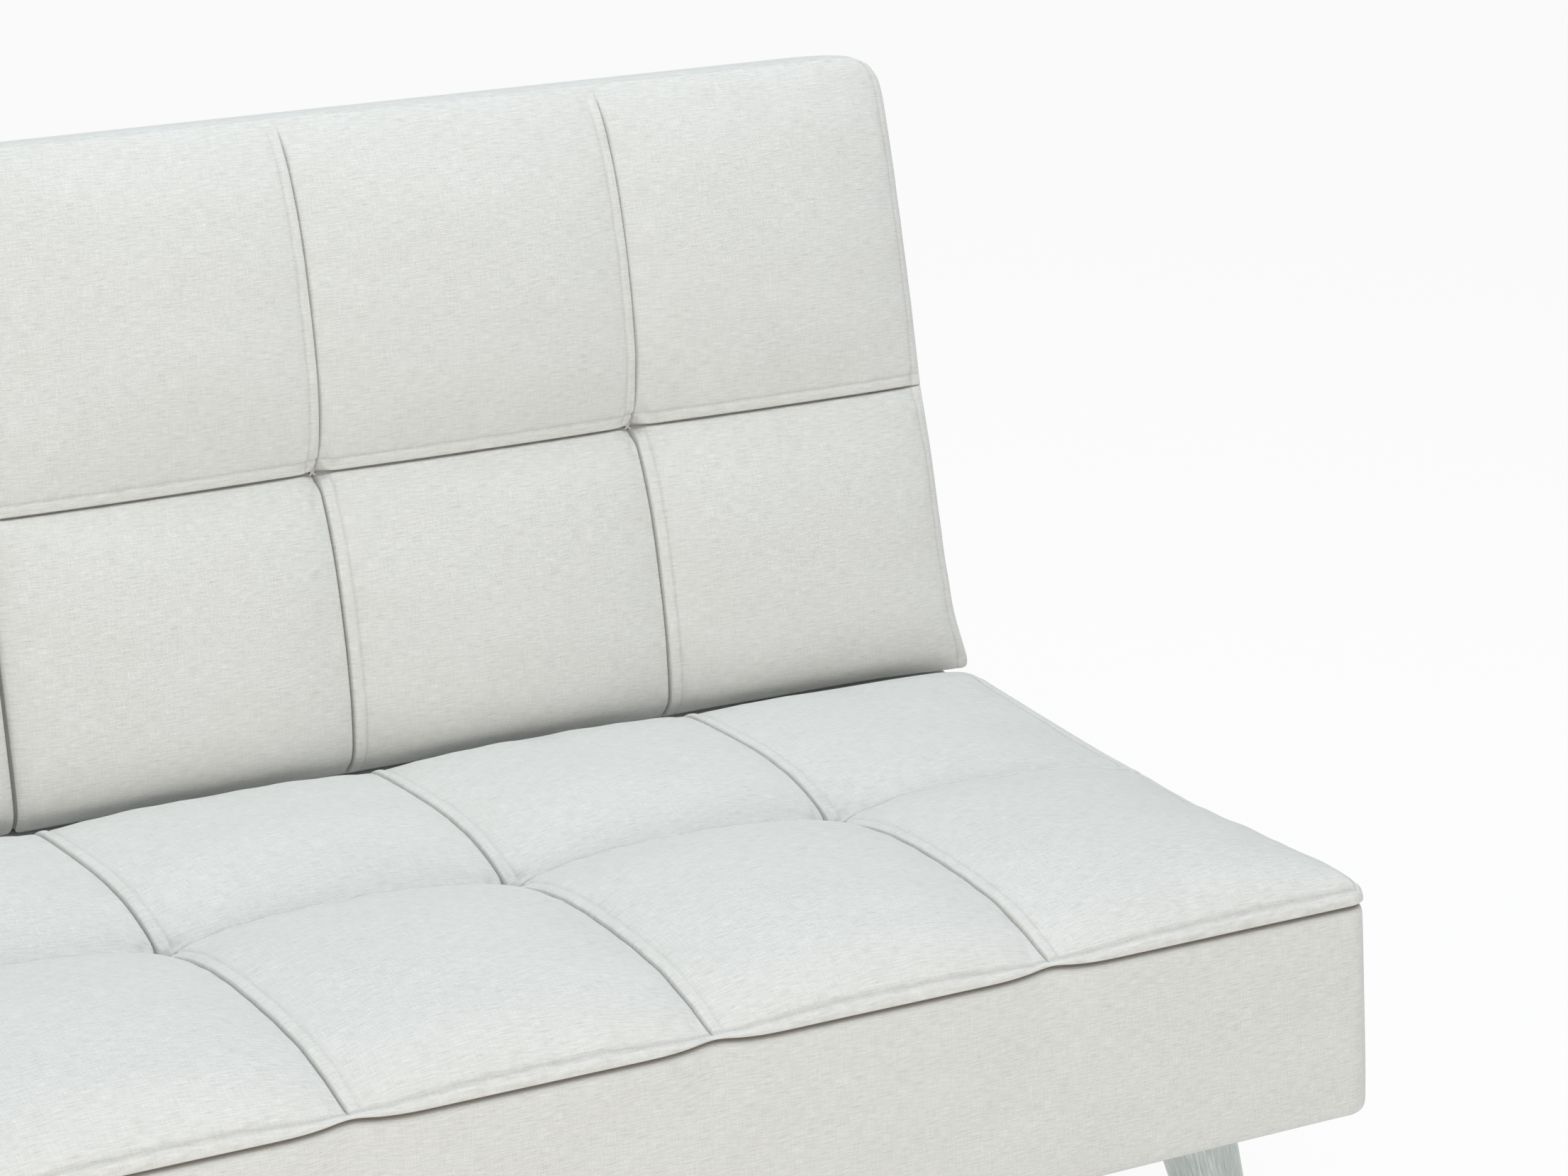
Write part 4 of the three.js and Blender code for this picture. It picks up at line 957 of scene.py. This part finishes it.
sheet("seatLiner", (linerLow.x, linerHigh.x), (linerLow.y, linerHigh.y), (96, 36), linerPlace, Matrix(), 1.0,
      spunbondLiner, "seat_dust_cover", "base")
for y in (linerLow.y + staples["inset"], linerHigh.y - staples["inset"]):
    count = round((linerHigh.x - linerLow.x) / staples["pitch"])
    for k in range(1, count):
        staple(stapleBed, (linerLow.x + k * (linerHigh.x - linerLow.x) / count, y, linerLow.z - 0.2), (1, 0, 0), (0, 0, -1), staples)
for x in (linerLow.x + staples["inset"], linerHigh.x - staples["inset"]):
    count = round((linerHigh.y - linerLow.y) / staples["pitch"])
    for k in range(1, count):
        staple(stapleBed, (x, linerLow.y + k * (linerHigh.y - linerLow.y) / count, linerLow.z - 0.2), (0, 1, 0), (0, 0, -1), staples)
bmesh.ops.transform(stapleBed, matrix=Matrix.Scale(mm, 4), verts=stapleBed.verts)
newPiece("seatStaples", stapleBed, zincPlatedSteel, "base")
print("straps and liner made")

# In the half-backs: a lumbar strap, and the rear panel sewn into its opening
backPanel = {"foot": 88.9, "top": 524, "rear": -85.7, "puff": 1.2, "seam": 9, "strapFoot": 266.5, "strapTop": 346.5, "strapRear": -15.6}
for side in (-1, 1):
    hand = handOf[side]
    turn = backTurn(joints[f"back_{hand}_fold"])
    xs = sorted((side * 14.3, side * 819.7))

    def lumbarPlace(t, x, u, v):
        free = min(max((abs(x) - 37) / 760, 0), 1)
        return (x, t, backPanel["strapRear"] + 1.1 + staples["sagStrap"] * 4 * free * (1 - free) * 0.5)

    sheet(f"lumbarWebbing_{hand}", (backPanel["strapFoot"], backPanel["strapTop"]), xs, (8, 60), lumbarPlace, turn, 2.0,
          elasticWebbing, f"{hand}_back_lumbar_strap", f"back_{hand}")

    def panelPlace(x, t, u, v):
        return (x, t, backPanel["rear"] + 0.5 + sagged(backPanel["puff"], u, v) - 0.6 * sagged(1, u, v) ** 0.2)

    sheet(f"rearPanel_{hand}", xs, (backPanel["foot"], backPanel["top"]), (48, 28), panelPlace, turn, 1.2,
          wovenPolyester, f"{hand}_back_rear_cover", f"back_{hand}")
    bm = bmesh.new()
    inset = backPanel["seam"]
    corners = [Vector((xs[0] + inset, backPanel["foot"] + inset, 0)), Vector((xs[1] - inset, backPanel["foot"] + inset, 0)),
               Vector((xs[1] - inset, backPanel["top"] - inset, 0)), Vector((xs[0] + inset, backPanel["top"] - inset, 0))]
    for start, end in zip(corners, corners[1:] + corners[:1]):
        line = []
        for k in range(41):
            spot = start.lerp(end, k / 40)
            spot.z = backPanel["rear"] - 0.35
            line.append((turn @ (spot * mm), turn.to_3x3() @ Vector((0, 0, -1))))
        sewAlong(bm, line, stitch)
    newPiece(f"rearPanelStitches_{hand}", bm, sewingThread, f"back_{hand}")
print("rear panels made")

# Screws: a domed head with a cross recess, cut from a grid drawn onto a disc
screwLook = {"radius": 4.6, "dome": 1.5, "skirt": 1.2, "recess": 1.4, "cells": 7}


def screwHead(bm, place, up, look):
    cells = look["cells"]
    made = bmesh.ops.create_grid(bm, x_segments=cells, y_segments=cells, size=1)["verts"]
    high = Vector(up).normalized()
    side = high.orthogonal().normalized()
    turned = Matrix((side, high.cross(side), high)).transposed().to_4x4()
    turned.translation = Vector(place)
    middle, arm = 0.5 / cells * 2 + 1e-3, 2.5 / cells * 2 + 1e-3
    faces = {face for vertex in made for face in vertex.link_faces}
    cross = [face for face in faces if (lambda c: (abs(c.x) < middle and abs(c.y) < arm) or (abs(c.y) < middle and abs(c.x) < arm))(face.calc_center_median())]
    for vertex in made:
        x, y = vertex.co.x, vertex.co.y
        p, q = x * math.sqrt(1 - y * y / 2), y * math.sqrt(1 - x * x / 2)
        vertex.co = (p * look["radius"], q * look["radius"], look["skirt"] + look["dome"] * (1 - p * p - q * q))
    rim = [edge for edge in {edge for vertex in made for edge in vertex.link_edges} if edge.is_boundary]
    sides = bmesh.ops.extrude_edge_only(bm, edges=rim)["geom"]
    lower = [item for item in sides if isinstance(item, bmesh.types.BMVert)]
    for vertex in lower:
        vertex.co.z = 0
    sunk = bmesh.ops.extrude_face_region(bm, geom=cross)["geom"]
    pressed = [item for item in sunk if isinstance(item, bmesh.types.BMVert)]
    for vertex in pressed:
        vertex.co.z -= look["recess"]
    bmesh.ops.delete(bm, geom=cross, context="FACES")
    bmesh.ops.transform(bm, matrix=turned, verts=made + lower + pressed)


def screwPiece(name, places, body):
    bm = bmesh.new()
    for place, up in places:
        screwHead(bm, place, up, screwLook)
    bmesh.ops.recalc_face_normals(bm, faces=bm.faces)
    bmesh.ops.transform(bm, matrix=Matrix.Scale(mm, 4), verts=bm.verts)
    newPiece(name, bm, zincPlatedSteel, body)


legScrews = []
for name in nodes:
    if name.endswith("_leg_plate"):
        low, high = [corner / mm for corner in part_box(name)]
        for x in (low.x + 13, high.x - 13):
            for y in (low.y + 13, high.y - 13):
                legScrews.append(((x, y, low.z + 0.1), (0, 0, -1)))
for k in range(3):
    angle = math.radians(90 + 120 * k)
    legScrews.append(((31.5 * math.cos(angle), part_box("centre_leg")[0].y / mm + 37 + 31.5 * math.sin(angle), 185.8), (0, 0, -1)))
screwPiece("legScrews", legScrews, "base")
plateScrews = [
    ((x + side * out, rearPlane + 4.2, flangeLow + up), (0, 1, 0)) for side, name, x in hingePlaces for out in (24, 42) for up in (15, 47)
]
screwPiece("hingeScrews", plateScrews, "base")
for side in (-1, 1):
    turn = Matrix.Scale(1 / mm, 4) @ backTurn(joints[f"back_{handOf[side]}_fold"]) @ Matrix.Scale(mm, 4)
    down = turn.to_3x3() @ Vector((0, -1, 0))
    armScrews = [
        (turn @ Vector((x - side * inward, 84.9, -29 + off)), down) for hinge, name, x in hingePlaces if hinge == side for inward in (12, 30) for off in (-13, 13)
    ]
    screwPiece(f"armScrews_{handOf[side]}", armScrews, f"back_{handOf[side]}")
print("screws made")


# Legs: satin steel brushed along each leg, in a cool grey
def legMaterial(name):
    low, high = [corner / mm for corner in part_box(name)]
    lean = Vector((math.copysign(0.2126, low.x + high.x), math.copysign(0.2126, -1 if name.startswith("front") else 1), -1))
    turn = lean.rotation_difference(Vector((0, 0, 1))).to_euler()
    return solidMaterial("brushedSteel_" + name, {
        "colours": ("#a3aaa6", "#c3c9c5"), "roughness": (0.26, 0.4), "metallic": 1.0, "bump": 0.15, "scale": (700, 700, 14),
        "turn": tuple(turn), "detail": 2.0,
    })


def carriedMaterial(name):
    if name.endswith(("_glide", "centre_leg")):
        return blackPlastic
    if name.endswith("_leg"):
        return legMaterial(name)
    if name.endswith("stile"):
        return pineUpright
    if name.endswith(("end_rail", "centre_rail", "batten")):
        return pineDeep
    if name.endswith("rail"):
        return pineAcross
    return zincPlatedSteel


for name in nodes:
    carried = bpy.data.objects.get(name)
    if carried and carried.type == "MESH" and not name.endswith(("cushion", "cover") ) and "strap" not in name:
        carried.data.materials.clear()
        carried.data.materials.append(carriedMaterial(name))
print("carried pieces finished")


# Room: pale floor and white surroundings, with the floor keeping the sofa's shadow
def makeRoom():
    bm = bmesh.new()
    bmesh.ops.create_grid(bm, x_segments=1, y_segments=1, size=9)
    mesh = bpy.data.meshes.new("floor")
    bm.to_mesh(mesh)
    bm.free()
    floor = bpy.data.objects.new("floor", mesh)
    scene.collection.objects.link(floor)
    material, tree = newMaterial("paleFloor")
    rays = addNode(tree, "ShaderNodeLightPath")
    seen = addNode(tree, "ShaderNodeMath", {"operation": "MAXIMUM"}, {0: rays.outputs["Is Camera Ray"], 1: rays.outputs["Is Glossy Ray"]})
    seen = addNode(tree, "ShaderNodeMath", {"operation": "MAXIMUM"}, {0: seen.outputs[0], 1: rays.outputs["Is Transmission Ray"]})
    share = addNode(tree, "ShaderNodeMath", {"operation": "MULTIPLY", 1: 0.9}, {0: seen.outputs[0]})
    plain = addNode(tree, "ShaderNodeBsdfDiffuse", {"Color": linearColour("#f2f2f0")})
    glow = addNode(tree, "ShaderNodeEmission", {"Color": (1, 1, 1, 1), "Strength": 1.0})
    mixed = addNode(tree, "ShaderNodeMixShader", {}, {0: share.outputs[0], 1: plain.outputs[0], 2: glow.outputs[0]})
    addNode(tree, "ShaderNodeOutputMaterial", {}, {"Surface": mixed.outputs[0]})
    mesh.materials.append(material)

    world = bpy.data.worlds.new("studio")
    scene.world = world
    world.use_nodes = True
    tree = world.node_tree
    tree.nodes.clear()
    rays = addNode(tree, "ShaderNodeLightPath")
    seen = addNode(tree, "ShaderNodeMath", {"operation": "MAXIMUM"}, {0: rays.outputs["Is Camera Ray"], 1: rays.outputs["Is Glossy Ray"]})
    seen = addNode(tree, "ShaderNodeMath", {"operation": "MAXIMUM"}, {0: seen.outputs[0], 1: rays.outputs["Is Transmission Ray"]})
    air = addNode(tree, "ShaderNodeBackground", {"Color": linearColour("#eef0f2"), "Strength": 0.62})
    white = addNode(tree, "ShaderNodeBackground", {"Color": (1, 1, 1, 1), "Strength": 1.0})
    mixed = addNode(tree, "ShaderNodeMixShader", {}, {0: seen.outputs[0], 1: air.outputs[0], 2: white.outputs[0]})
    addNode(tree, "ShaderNodeOutputWorld", {}, {"Surface": mixed.outputs[0]})


def addSoftbox(name, place, aim, size, power, colour):
    light = bpy.data.lights.new(name, "AREA")
    light.shape = "RECTANGLE"
    light.size, light.size_y = size
    light.energy = power
    light.color = linearColour(colour)[:3]
    lamp = bpy.data.objects.new(name, light)
    scene.collection.objects.link(lamp)
    lamp.location = place
    lamp.rotation_euler = (Vector(aim) - Vector(place)).to_track_quat("-Z", "Y").to_euler()


makeRoom()
addSoftbox("overheadBox", (0.2, -0.25, 3.2), (0.2, -0.1, 0.4), (4, 3), 61, "#f1f9fd")
addSoftbox("frontBox", (-1.4, -4.4, 0.8), (0.3, 0, 0.25), (3, 1.4), 68, "#fff5e8")
print("room made")
